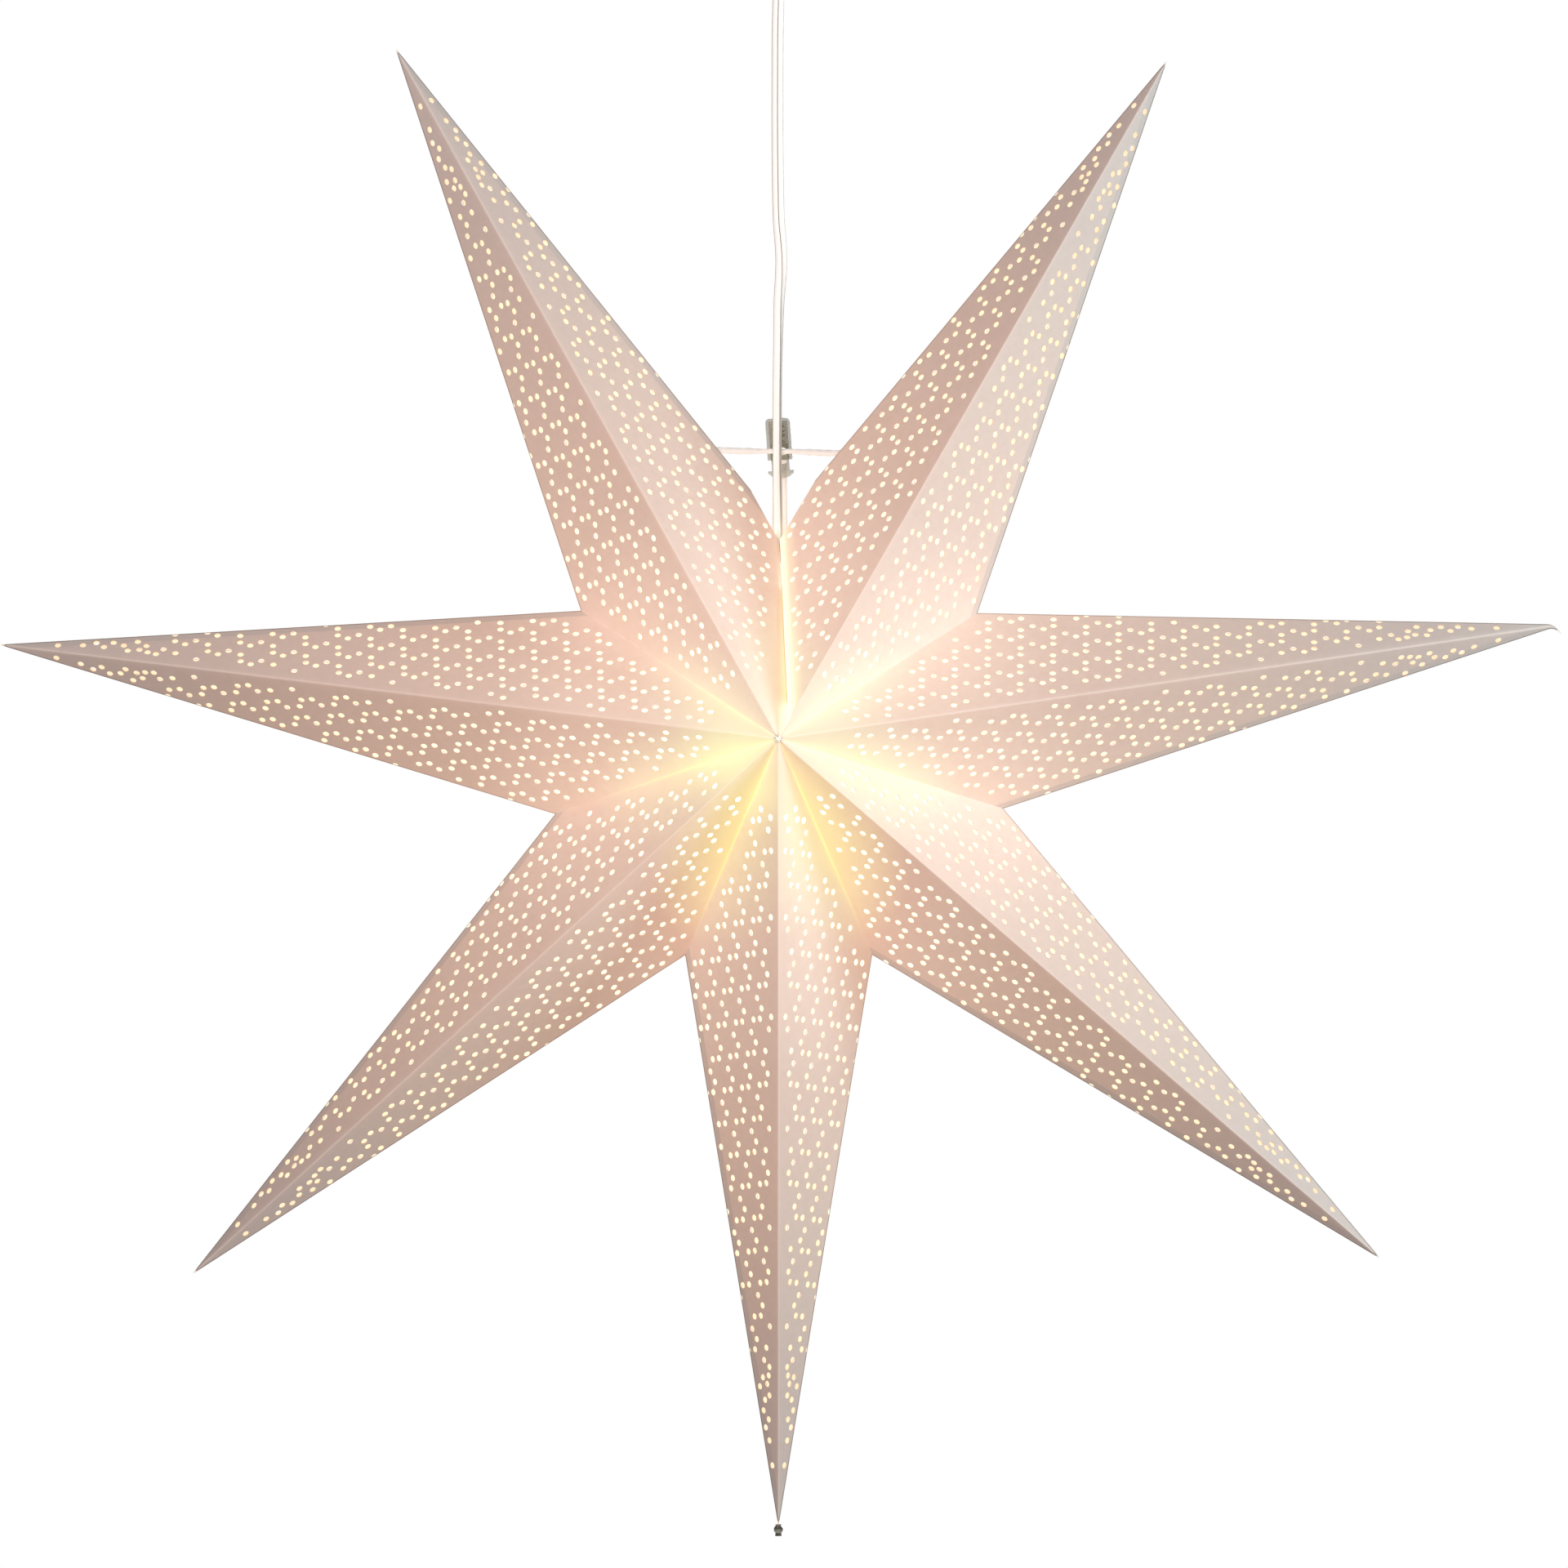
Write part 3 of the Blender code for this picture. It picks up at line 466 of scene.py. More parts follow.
def paper_outside():
    """White card with a warm tone, lit through from the inside as painted light, with painted shade and
    highlights.
    """
    made, shader = new_material("paper_outside", (0.80, 0.74, 0.70), 0.82)
    place = object_place(shader)
    cloud = noise(place, 260.0, 4.0, 0.6)
    fibre = noise(place, 1500.0, 3.0, 0.6)
    wave = noise(place, 14.0, 1.0, 0.4)

    tone = mottled(cloud, (0.775, 0.703, 0.653), (0.805, 0.737, 0.687))
    # Painted shade along the doubled tab: a greyer tone there, and less glow through it.
    tab = attribute(shader, "tab_distance")
    tab_shade = map_range(tab, TAB_WIDTH - 0.3 * MM, TAB_WIDTH + 0.3 * MM, 0.42, 0.0)
    tone = mix_colours(tab_shade, tone, (0.62, 0.60, 0.585))
    # Painted highlight: a lighter tone along the ridge crease.
    crease = map_range(attribute(shader, "ridge_distance"), 0.0, 0.9 * MM, 0.6, 0.0)
    tone = mix_colours(crease, tone, (0.95, 0.88, 0.82))
    # Painted shade: a dark line along the panel's outer edge.
    edge = map_range(attribute(shader, "edge_distance"), 0.15 * MM, 0.85 * MM, 0.72, 0.0)
    tone = mix_colours(edge, tone, (0.17, 0.15, 0.13))

    middle = axis_distance(place)
    glow = paper_glow(shader, lamp_distance(place), middle, cloud)
    glow = mix_colours(tab_shade, glow, BLACK)
    # Painted shade at the star's middle, where the apexes meet: a grey tone and no glow.
    apex_shade = map_range(middle, 0.8 * MM, 3.0 * MM, 0.8, 0.0)
    glow = mix_colours(apex_shade, glow, BLACK)
    tone = mix_colours(apex_shade, tone, (0.62, 0.60, 0.62))
    tone, glow = seam_looks(shader, tone, glow)
    paint(shader, tone)
    give_off(shader, glow)

    height = node(shader, "Math", {1: 14.0}, operation="MULTIPLY_ADD")
    link(wave, height.inputs[0])
    link(fibre, height.inputs[2])
    bump(shader, height.outputs[0], 0.35, 0.05 * MM)
    made.cycles.emission_sampling = "NONE"
    return made


def shaded_paper_edge():
    """The card's cut edge along a point's sides, painted dark brown-grey as shade."""
    made, shader = new_material("shaded_paper_edge", (0.34, 0.29, 0.26), 0.9)
    cloud = noise(object_place(shader), 400.0)
    paint(shader, mottled(cloud, (0.28, 0.24, 0.21), (0.38, 0.33, 0.30)))
    return made


def hole_rim():
    """The cut edge inside a punched hole, lit orange by the lamp."""
    made, shader = new_material("hole_rim", (0.5, 0.35, 0.25), 0.9)
    place = object_place(shader)
    far = map_range(lamp_distance(place), 0.05, 0.36, 0.0, 1.0, smooth=False)
    light = ((0.0, (0.66, 0.40, 0.16)), (0.3, (0.48, 0.25, 0.13)), (1.0, (0.32, 0.17, 0.10)))
    give_off(shader, ramp(far, light))
    made.cycles.emission_sampling = "NONE"
    return made


def paper_inside():
    """The same card's inner face, brightly lit by the lamp. It shows through the holes."""
    made, shader = new_material("paper_inside", (0.22, 0.19, 0.15), 0.9)
    place = object_place(shader)
    far = map_range(lamp_distance(place), 0.0, 0.36, 0.0, 1.0, smooth=False)
    light = (
        (0.15, (1.40, 1.29, 1.02)),
        (0.30, (1.20, 1.08, 0.84)),
        (0.45, (1.09, 0.98, 0.73)),
        (0.60, (1.01, 0.89, 0.63)),
        (0.75, (0.94, 0.80, 0.57)),
        (1.00, (0.88, 0.72, 0.52)),
    )
    patches = mottled(noise(place, 220.0, 3.0, 0.6), (0.88, 0.84, 0.78), (1.05, 1.05, 1.05))
    give_off(shader, mix_colours(1.0, ramp(far, light), patches, "MULTIPLY"))
    bump(shader, noise(place, 1500.0), 0.2, 0.05 * MM)
    made.cycles.emission_sampling = "NONE"
    return made


def weathered(shader, cloud, colours, top, roughness):
    """Colour and gloss that vary with a noise value, each between two."""
    paint(shader, ramp(cloud, ((0.3, colours[0]), (top, colours[1]))))
    link(map_range(cloud, 0.3, 0.7, *roughness), shader.inputs["Roughness"])


def plastic(name, colour, roughness, grain=900.0, strength=0.08):
    """Moulded plastic with a fine grain and slightly uneven gloss."""
    made, shader = new_material(name, colour, roughness)
    place = object_place(shader)
    darker = tuple(0.94 * c for c in colour)
    gloss = (roughness - 0.06, roughness + 0.08)
    weathered(shader, noise(place, 120.0), (darker, colour), 0.7, gloss)
    bump(shader, noise(place, grain, 2.0), strength, 0.05 * MM)
    return made


def metal(name, colour, roughness, scale=500.0):
    """Bare metal with faint stains and a brushed variation of its gloss."""
    made, shader = new_material(name, colour, roughness, 1.0)
    place = object_place(shader)
    darker = tuple(0.82 * c for c in colour)
    gloss = (roughness - 0.08, roughness + 0.12)
    weathered(shader, noise(place, scale, 4.0), (darker, colour), 0.65, gloss)
    bump(shader, noise(place, 4 * scale, 2.0), 0.06, 0.02 * MM)
    return made


def clear_plastic():
    """Smoky see-through plastic of the cord lock."""
    made, shader = new_material("clear_plastic", (0.62, 0.62, 0.52), 0.2)
    place = object_place(shader)
    tone = mottled(noise(place, 300.0), (0.35, 0.35, 0.25), (0.48, 0.48, 0.36))
    paint(shader, tone)
    shader.inputs["Alpha"].default_value = 0.44
    bump(shader, noise(place, 900.0), 0.05, 0.05 * MM)
    return made


def lit_by_star(shader, colour):
    """The star's own light on white string and plastic near it, as a faint glow."""
    cloud = noise(object_place(shader), 60.0)
    darker = tuple(0.9 * c for c in colour)
    give_off(shader, mottled(cloud, darker, colour))


def cord_plastic():
    """White lead with painted shade on groove, sides, rear core and foot, and painted glow from the star."""
    made = plastic("cord_plastic", (0.95, 0.94, 0.92), 0.42, 700.0, 0.05)
    shader = made.node_tree.nodes["Principled BSDF"]
    shade = attribute(shader, "shade")
    tone = mix_colours(shade, (0.95, 0.94, 0.92), (0.12, 0.10, 0.075))
    paint(shader, tone)
    give_off(shader, mix_colours(shade, (0.34, 0.325, 0.30), BLACK))
    return made


def cotton():
    """White braided cotton string."""
    made, shader = new_material("white_string", (0.90, 0.86, 0.84), 0.85)
    place = object_place(shader)
    fibre = noise(place, 2200.0, 3.0, 0.7)
    paint(shader, mottled(fibre, (0.80, 0.76, 0.74), (0.94, 0.91, 0.90)))
    lit_by_star(shader, (0.31, 0.30, 0.27))
    bump(shader, fibre, 0.5, 0.15 * MM)
    return made


def lit_glass():
    """The lamp's opal glass, alight."""
    made, shader = new_material("bulb_glass_lit", (1.0, 0.93, 0.80), 0.25)
    place = object_place(shader)
    height = node(shader, "SeparateXYZ")
    link(place, height.inputs[0])
    top = STAR_HEIGHT + NECK_TOP
    warm = map_range(height.outputs["Z"], top - 0.02, top, 0.0, 1.0)
    give_off(shader, mix_colours(warm, (3.2, 2.7, 1.9), (1.2, 0.85, 0.5)))
    made.cycles.emission_sampling = "NONE"
    return made


def glowing(name, colour, strength):
    """A hot wire."""
    made, shader = new_material(name, colour, 0.4)
    pulse = noise(object_place(shader), 400.0)
    hot = tuple(min(1.0, 1.1 * c) for c in colour)
    give_off(shader, mottled(pulse, colour, hot), strength)
    made.cycles.emission_sampling = "NONE"
    return made


# -------------------- mesh helpers


def add_object(name, data):
    """A new object in the scene."""
    made = bpy.data.objects.new(name, data)
    bpy.context.scene.collection.objects.link(made)
    return made


def piece_from(name, mesh, body, materials, sharp=35.0):
    """A finished mesh piece that rides on a CAD body."""
    made = add_object(name, mesh)
    for finish in materials:
        mesh.materials.append(finish)
    mesh.shade_smooth()
    mesh.set_sharp_from_angle(angle=math.radians(sharp))
    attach(made, body)
    return made


def smooth_route(points, step):
    """Points a step apart along the smooth curve through the given ones (Catmull-Rom)."""
    padded = [2 * points[0] - points[1], *points, 2 * points[-1] - points[-2]]
    route = []
    for before, start, end, after in zip(padded, padded[1:], padded[2:], padded[3:]):
        count = max(1, round((end - start).length / step))
        for k in range(count):
            t = k / count
            bend = 2 * before - 5 * start + 4 * end - after
            twist = 3 * start - before - 3 * end + after
            route.append(0.5 * (2 * start + t * (end - before) + t * t * bend + t**3 * twist))
    route.append(points[-1].copy())
    return route


def spaced(route, step):
    """The same route with its points a step apart."""
    places = [route[0].copy()]
    need = step
    for start, end in zip(route, route[1:]):
        length = (end - start).length
        while need <= length:
            places.append(start.lerp(end, need / length))
            need += step
        need -= length
    if (places[-1] - route[-1]).length > 0.3 * step:
        places.append(route[-1].copy())
    return places


def swept_mesh(name, route, section):
    """A closed tube along a route.

    section(k, place) gives the outline of ring k at its place, and the direction that is wide there, or None
    to carry on from the ring before.
    """
    rings = []
    points = []
    side = None
    for k, place in enumerate(route):
        before = route[max(k - 1, 0)]
        after = route[min(k + 1, len(route) - 1)]
        tangent = (after - before).normalized()
        outline, wide = section(k, place)
        if wide is None:
            wide = side if side is not None else tangent.orthogonal()
        side = (wide - tangent * wide.dot(tangent)).normalized()
        other = tangent.cross(side)
        rings.append(range(len(points), len(points) + len(outline)))
        points += [place + side * x + other * y for x, y in outline]
    faces = [list(rings[0])[::-1], list(rings[-1])]
    for first, second in zip(rings, rings[1:]):
        count = len(first)
        for k in range(count):
            after = (k + 1) % count
            faces.append((first[k], first[after], second[after], second[k]))
    mesh = bpy.data.meshes.new(name)
    mesh.from_pydata(points, [], faces)
    mesh.update()
    return mesh


def turned_mesh(name, profile, steps, base):
    """A solid of revolution about the Z axis, from (radius, height above base) points that end on it."""
    bm = bmesh.new()
    turns = [math.tau * k / steps for k in range(steps)]
    rings = []
    for radius, height in profile:
        angles = turns if radius > 0 else turns[:1]
        places = [(radius * math.cos(a), radius * math.sin(a), base + height) for a in angles]
        rings.append([bm.verts.new(place) for place in places])
    for first, second in zip(rings, rings[1:]):
        for k in range(steps):
            corners = (
                first[k % len(first)],
                first[(k + 1) % len(first)],
                second[(k + 1) % len(second)],
                second[k % len(second)],
            )
            bm.faces.new(dict.fromkeys(corners))
    bmesh.ops.recalc_face_normals(bm, faces=bm.faces)
    mesh = bpy.data.meshes.new(name)
    bm.to_mesh(mesh)
    bm.free()
    return mesh


def arc(centre, radius, start, end, count):
    """Points on an arc in the (radius, height) plane, from start to end in degrees."""
    angles = [math.radians(start + (end - start) * k / count) for k in range(count + 1)]
    return [(centre[0] + radius * math.cos(a), centre[1] + radius * math.sin(a)) for a in angles]


def round_section(radius, sides):
    """A circle's points."""
    turns = [math.tau * k / sides for k in range(sides)]
    return [(radius * math.cos(a), radius * math.sin(a)) for a in turns]


# -------------------- camera, light, stage


def add_camera():
    """A long lens, level with the star, looking along +Y."""
    data = bpy.data.cameras.new("camera")
    data.sensor_width = SENSOR
    data.lens = SENSOR * VIEW_DISTANCE / VIEW_WIDTH
    data.clip_end = 100.0
    camera = add_object("camera", data)
    camera.location = VIEW_CENTRE - Vector((0.0, VIEW_DISTANCE, 0.0))
    camera.rotation_euler = (math.radians(90.0), 0.0, 0.0)
    bpy.context.scene.camera = camera


def add_area_light(name, place, size, power, colour):
    """A square soft light that faces the star."""
    data = bpy.data.lights.new(name, "AREA")
    data.shape = "SQUARE"
    data.size = size
    data.energy = power
    data.color = colour
    lamp = add_object(name, data)
    lamp.location = place
    lamp.visible_camera = False
    facing = Vector((0.0, 0.0, STAR_HEIGHT)) - Vector(place)
    lamp.rotation_euler = facing.to_track_quat("-Z", "Y").to_euler()


def add_world():
    """A surround that the camera sees as white. It is dimmer in reflections, and dim as a light."""
    world = bpy.data.worlds.new("studio")
    world.use_nodes = True
    bpy.context.scene.world = world
    surround = world.node_tree.nodes["Background"]
    surround.inputs["Color"].default_value = (1.0, 1.0, 0.95, 1.0)
    surround.inputs["Strength"].default_value = 0.10
    path = node(surround, "LightPath")
    shown = surround.outputs[0]
    for ray, strength in (("Is Glossy Ray", 0.3), ("Is Camera Ray", 1.0)):
        white = node(surround, "Background", {"Color": (1.0, 1.0, 1.0, 1.0), "Strength": strength})
        mix = node(surround, "MixShader")
        link(path.outputs[ray], mix.inputs[0])
        link(shown, mix.inputs[1])
        link(white.outputs[0], mix.inputs[2])
        shown = mix.outputs[0]
    link(shown, world.node_tree.nodes["World Output"].inputs["Surface"])


def add_stage():
    """Studio light, a white surround and a pale floor below the hanging star."""
    for light in LIGHTS:
        add_area_light(*light)
    add_world()
    bm = bmesh.new()
    bmesh.ops.create_circle(bm, cap_ends=True, segments=96, radius=FLOOR_RADIUS)
    mesh = bpy.data.meshes.new("floor")
    bm.to_mesh(mesh)
    bm.free()
    floor = add_object("floor", mesh)
    floor.location.z = FLOOR_HEIGHT
    made, shader = new_material("floor", (0.86, 0.85, 0.84), 0.7)
    pale = mottled(noise(object_place(shader), 30.0), (0.84, 0.83, 0.82), (0.88, 0.87, 0.86))
    paint(shader, pale)
    give_off(shader, pale, 0.8)
    mesh.materials.append(made)
    floor.visible_diffuse = False
    bpy.context.scene.view_settings.view_transform = "Standard"


# -------------------- lamp cord and tie strings


def twin_section():
    """Outline of the flat twin lead: two round cores side by side with a groove between them."""
    reach = math.degrees(math.acos(-LOBE_OFFSET / LOBE_RADIUS)) - GROOVE_ANGLE
    right = arc((LOBE_OFFSET, 0.0), LOBE_RADIUS, -reach, reach, 26)
    left = arc((-LOBE_OFFSET, 0.0), LOBE_RADIUS, 180.0 - reach, 180.0 + reach, 26)
    return right + left


def cord_turn(height):
    """How far the lead is turned from flat at a height above the star's centre."""
    share = clamped((TWIST_HIGH - height) / (TWIST_HIGH - TWIST_LOW))
    return LOWER_TURN * share * share * (3 - 2 * share)


def cord_shade(height, outline):
    """Painted shade at each point of the lead, for its groove, its two sides, its rear core and its foot."""
    turn = cord_turn(height)
    foot = FOOT_SHADE * clamped((CORD_FOOT - height) / (0.08 * CORD_FOOT))
    ends = (0, len(outline) // 2 - 1, len(outline) // 2, len(outline) - 1)
    shades = []
    for k, (x, y) in enumerate(outline):
        out = x - math.copysign(LOBE_OFFSET, x)
        sideways = (out * math.cos(turn) - y * math.sin(turn)) / LOBE_RADIUS
        backwards = (out * math.sin(turn) + y * math.cos(turn)) / LOBE_RADIUS
        groove = GROOVE_SHADE if k in ends else 0.0
        side = SIDE_SHADE * clamped((abs(sideways) - 0.84) / 0.12)
        rear = REAR_SHADE * turn / LOWER_TURN if x > 0 and backwards < 0.2 else 0.0
        shades.append(max(groove, side, rear, foot))
    return shades


def add_lamp_cord():
    """The hanging lead. It faces forwards at its top, and turns edge-on below its kink."""
    points = [Vector((x, y, STAR_HEIGHT + z)) for x, y, z in CORD_ROUTE]
    route = spaced(smooth_route(points, CORD_STEP), CORD_STEP)
    outline = twin_section()

    def section(k, place):
        turn = cord_turn(place.z - STAR_HEIGHT)
        return outline, Vector((math.cos(turn), math.sin(turn), 0.0))

    mesh = swept_mesh("flat_lamp_cord", route, section)
    shades = [v for place in route for v in cord_shade(place.z - STAR_HEIGHT, outline)]
    mesh.attributes.new("shade", "FLOAT", "POINT").data.foreach_set("value", shades)
    cord = piece_from("flat_lamp_cord", mesh, "lamp", [cord_plastic()], 50.0)
    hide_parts("lamp_cord")


def string_route(side):
    """A tie string's route, from its knot inside one end point to its free end behind the star."""
    lane = LOCK_X + side * STRING_PITCH / 2
    start = side * STRING_START[side]
    level = STAR_HEIGHT + STRING_HEIGHT
    reach = start - (lane + side * STRING_BEND)
    route = []
    for k in range(13):
        share = k / 12
        height = level + STRING_RISE[side] * (1 - share) - STRING_SAG * math.sin(math.pi * share)
        route.append(Vector((start - reach * share, STRING_FRONT, height)))
    for k in range(1, 7):
        turn = math.pi / 2 * k / 6
        x = lane + side * STRING_BEND * (1 - math.sin(turn))
        route.append(Vector((x, STRING_FRONT + STRING_BEND * (1 - math.cos(turn)), level)))
    bent = STRING_FRONT + STRING_BEND
    for k in range(1, 9):
        route.append(Vector((lane, bent + (STRING_BACK - bent) * k / 8, level)))
    drift = side * STRING_DRIFT
    for k in range(1, 7):
        turn = math.pi / 2 * k / 6
        y = STRING_BACK + STRING_DROP * math.sin(turn)
        route.append(Vector((lane + drift * k / 12, y, level - STRING_DROP * (1 - math.cos(turn)))))
    tail = STRING_TAIL[side]
    steps = round(tail / TAIL_STEP)
    for k in range(1, steps + 1):
        share = k / steps
        x = lane + drift * (0.5 + 0.5 * share)
        route.append(Vector((x, STRING_BACK + STRING_DROP, level - STRING_DROP - tail * share)))
    return route


def braid_section(k, sides, radius):
    """A braided string's outline: two sets of strands that cross, as small waves in its radius."""
    outline = []
    for j in range(sides):
        turn = math.tau * j / sides
        wave = abs(math.sin(2 * turn + 0.42 * k)) * abs(math.sin(2 * turn - 0.42 * k))
        r = radius * (0.90 + 0.14 * wave)
        outline.append((r * math.cos(turn), r * math.sin(turn)))
    return outline


def knot_route(place, radius):
    """A tight overhand knot's path round a hanging string."""
    route = []
    for k in range(49):
        turn = math.tau * 1.5 * k / 48
        lift = 2.2 * radius * math.cos(math.tau * k / 48)
        out = radius * (1.35 + 0.35 * math.sin(math.tau * 2 * k / 48))
        route.append(place + Vector((out * math.cos(turn), out * math.sin(turn), lift)))
    return route


def string_section(k, place):
    """A tie string's outline. It is thin where it passes through the lock."""
    level = clamped((abs(place.x - LOCK_X) - THIN_REACH) / THIN_FADE)
    return braid_section(k, 16, STRING_RADIUS + (STRING_WIDE - STRING_RADIUS) * level), None


def knot_section(k, place):
    """The outline of the string that a knot is tied in."""
    return braid_section(k, 12, 0.85 * STRING_RADIUS), None


def add_tie_strings():
    """The two braided strings. Each has a knot on its free end."""
    white = cotton()
    for name, side in (("left", -1), ("right", 1)):
        route = spaced(string_route(side), STRING_STEP)
        mesh = swept_mesh(f"braided_string_{name}", route, string_section)
        string = piece_from(f"braided_string_{name}", mesh, "star", [white], 60.0)
        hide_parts(f"tie_string_{name}")
        loops = knot_route(route[KNOT_PLACE], STRING_RADIUS)
        knot_mesh = swept_mesh(f"string_knot_{name}", loops, knot_section)
        knot = piece_from(f"string_knot_{name}", knot_mesh, "star", [white], 60.0)


# -------------------- paper star


def star_place(angle, radius, depth=0.0):
    """A place on the star, from its polar angle and radius, and its depth behind the middle plane."""
    turn = math.radians(angle)
    return Vector((radius * math.cos(turn), depth, STAR_HEIGHT + radius * math.sin(turn)))


def at_seam(index, side):
    """Whether a side of a point ends at the seam."""
    return (index, side) in ((0, "left"), (len(TIPS) - 1, "right"))


def notch_of(index, side):
    """The notch at one side of a point. At the seam it is the corner that the cut-out takes away."""
    if at_seam(index, side):
        return star_place(SEAM_ANGLE, SEAM_RADIUS)
    return star_place(NOTCH_ANGLES[index if side == "right" else index - 1], NOTCH_RADIUS)


def distance_from(start, end, point):
    """A flat point's distance from a line, positive to its left."""
    along = (end - start).normalized()
    offset = point - start
    return along.x * offset.y - along.y * offset.x


class Panel:
    """One flat face of a point: its own axes along and away from the ridge, its outline and its holes."""

    def __init__(self, index, face, side):
        self.back = face == "back"
        self.glow = PANEL_GLOW.get((index + 1, side), (0.0, 0.0, 0.0))
        self.curled = index == CURLED_POINT
        self.seam = at_seam(index, side)
        self.right_of_seam = self.seam and side == "left"
        self.tab = side == "right"
        self.apex = Vector((0.0, HALF_DEPTH if self.back else -HALF_DEPTH, STAR_HEIGHT))
        self.tip = star_place(*TIPS[index])
        self.notch = notch_of(index, side)
        self.along = (self.tip - self.apex).normalized()
        reach = self.notch - self.apex
        self.across = (reach - self.along * reach.dot(self.along)).normalized()
        self.normal = self.along.cross(self.across)
        self.mirrored = self.normal.y * (1 if self.back else -1) < 0
        if self.mirrored:
            self.normal = -self.normal
        self.length = (self.tip - self.apex).length
        self.corner = self.flat(self.notch)
        self.corners = self.outline()

    def flat(self, place):
        """A place's distances along and from the ridge."""
        offset = place - self.apex
        return Vector((offset.dot(self.along), offset.dot(self.across)))

    def valley_distance(self, point):
        """Distance from the edge at the valley crease, positive on the panel."""
        return distance_from(self.corners[3 if self.seam else 2], self.corners[0], point)

    def side_distance(self, point):
        """Distance from the outer edge, positive on the panel."""
        return distance_from(self.corners[1], self.corners[2], point)

    def seam_distance(self, point):
        """Distance from the seam, positive on the panel right of it and negative on the one left of it."""
        if not self.seam:
            return FAR
        if self.right_of_seam:
            return self.valley_distance(point)
        return -distance_from(self.corners[3], self.corners[4], point)

    def layers(self, point):
        """What the material reads at a flat point, in the order of LAYERS."""
        side = self.side_distance(point)
        tab = side if self.tab else FAR
        valley = FAR if self.seam else self.valley_distance(point)
        return (point.y, tab, side, valley, self.seam_distance(point), *self.glow)

    def valley_inset(self):
        """How far the panel's edge stays back from the valley crease."""
        return SEAM_INSET_RIGHT if self.right_of_seam else VALLEY_INSET

    def outline(self):
        """The panel's corners, from the apex along the ridge and back along its outer edge."""
        tip = Vector((self.length, 0.0))
        inset = self.valley_inset()
        valley = self.corner.normalized()
        shift = Vector((valley.y, -valley.x))
        near = Vector((inset * self.corner.length / self.corner.y, 0.0))
        if not self.seam:
            return [near, tip, self.corner + shift * inset]
        low = self.corner.lerp(Vector((0.0, 0.0)), SEAM_CUT) + shift * inset
        if self.right_of_seam:
            return [Vector((SEAM_START, 0.0)), tip, self.corner.lerp(tip, SIDE_CUT_RIGHT), low]
        overlap = valley * OVERLAP_ALONG - shift * OVERLAP_WIDTH
        return [near, tip, self.corner.lerp(tip, SIDE_CUT_LEFT), low, overlap]

    def holes(self):
        """Centres of the punched holes."""
        start = FIRST_HOLE + (BACK_SHIFT if self.back else Vector((0.0, 0.0)))
        found = []
        steps = range(-LATTICE_REACH, LATTICE_REACH + 1)
        for i in steps:
            for j in steps:
                for offset in GROUP:
                    place = start + i * LATTICE_A + j * LATTICE_B + offset
                    if self.takes_hole(place):
                        found.append(place)
        tips = [] if self.back else [Vector(place) * MM for place in TIP_HOLES]
        return found + [place for place in tips if self.side_distance(place) > TIP_SIDE_MARGIN]

    def takes_hole(self, place):
        """Whether the lattice has a hole here: clear of the creases, and on the panel or biting its edge."""
        end = self.length if self.back else TIP_START
        if not CENTRE_MARGIN <= place.x <= end or place.y < RIDGE_MARGIN:
            return False
        if self.valley_distance(place) < VALLEY_MARGIN:
            return False
        if self.seam and place.x < self.corner.x and self.corner.y - place.y < SEAM_SIDE_MARGIN:
            return False
        side = self.side_distance(place)
        return side > SIDE_MARGIN or -BITE < side < 0.3 * BITE

    def inside(self, point):
        """Whether a flat point is within the panel's outline."""
        ends = self.corners[1:] + self.corners[:1]
        return all(distance_from(start, end, point) > -1e-6 for start, end in zip(self.corners, ends))

    def holes_clear_of(self, extra):
        """The holes without those that a tie string's hole would touch."""
        holes = self.holes()
        for centre, radius in extra:
            clear = radius + HOLE_RADIUS + STRING_HOLE_MARGIN
            holes = [h for h in holes if (h - centre).length > clear]
        return holes


def punched_face(panel, holes, extra):
    """Triangles of the panel with its round holes, as flat points and index triples."""
    corners = panel.corners
    points = [c.copy() for c in corners]
    edges = [(k, (k + 1) % len(corners)) for k in range(len(corners))]
    slope = panel.corner.y / (panel.length - panel.corner.x)
    lines = []
    for row in FOLD_ROWS:
        low = row * panel.corner.x / panel.corner.y + corners[0].x
        lines.append(((low, row), (panel.length - row / slope, row)))
    for row in TIP_ROWS:
        lines.append(((panel.length - row, 0.0), (panel.length - row, row * slope)))
    for line in lines:
        edges.append((len(points), len(points) + 1))
        points += [Vector(place) for place in line]
    rings = [(hole, HOLE_RADIUS) for hole in holes] + extra
    for centre, radius in rings:
        first = len(points)
        edges += [(first + k, first + (k + 1) % HOLE_SIDES) for k in range(HOLE_SIDES)]
        points += [centre + Vector(p) for p in round_section(radius, HOLE_SIDES)]
    result = geometry.delaunay_2d_cdt(points, edges, [list(range(len(corners)))], 1, 1e-8, False)
    flat = np.array([tuple(v) for v in result[0]])
    triangles = np.array([f for f in result[2] if len(f) == 3])
    centres = flat[triangles].mean(axis=1)
    keep = np.array([panel.inside(Vector(c)) for c in centres])
    for centre, radius in rings:
        keep &= np.hypot(centres[:, 0] - centre.x, centres[:, 1] - centre.y) > 0.95 * radius
    return flat, triangles[keep]


def rim_edges(triangles):
    """Directed edges that only one triangle uses."""
    edges = np.concatenate([triangles[:, [0, 1]], triangles[:, [1, 2]], triangles[:, [2, 0]]])
    known = {tuple(e) for e in edges}
    return [(int(a), int(b)) for a, b in edges if (b, a) not in known]


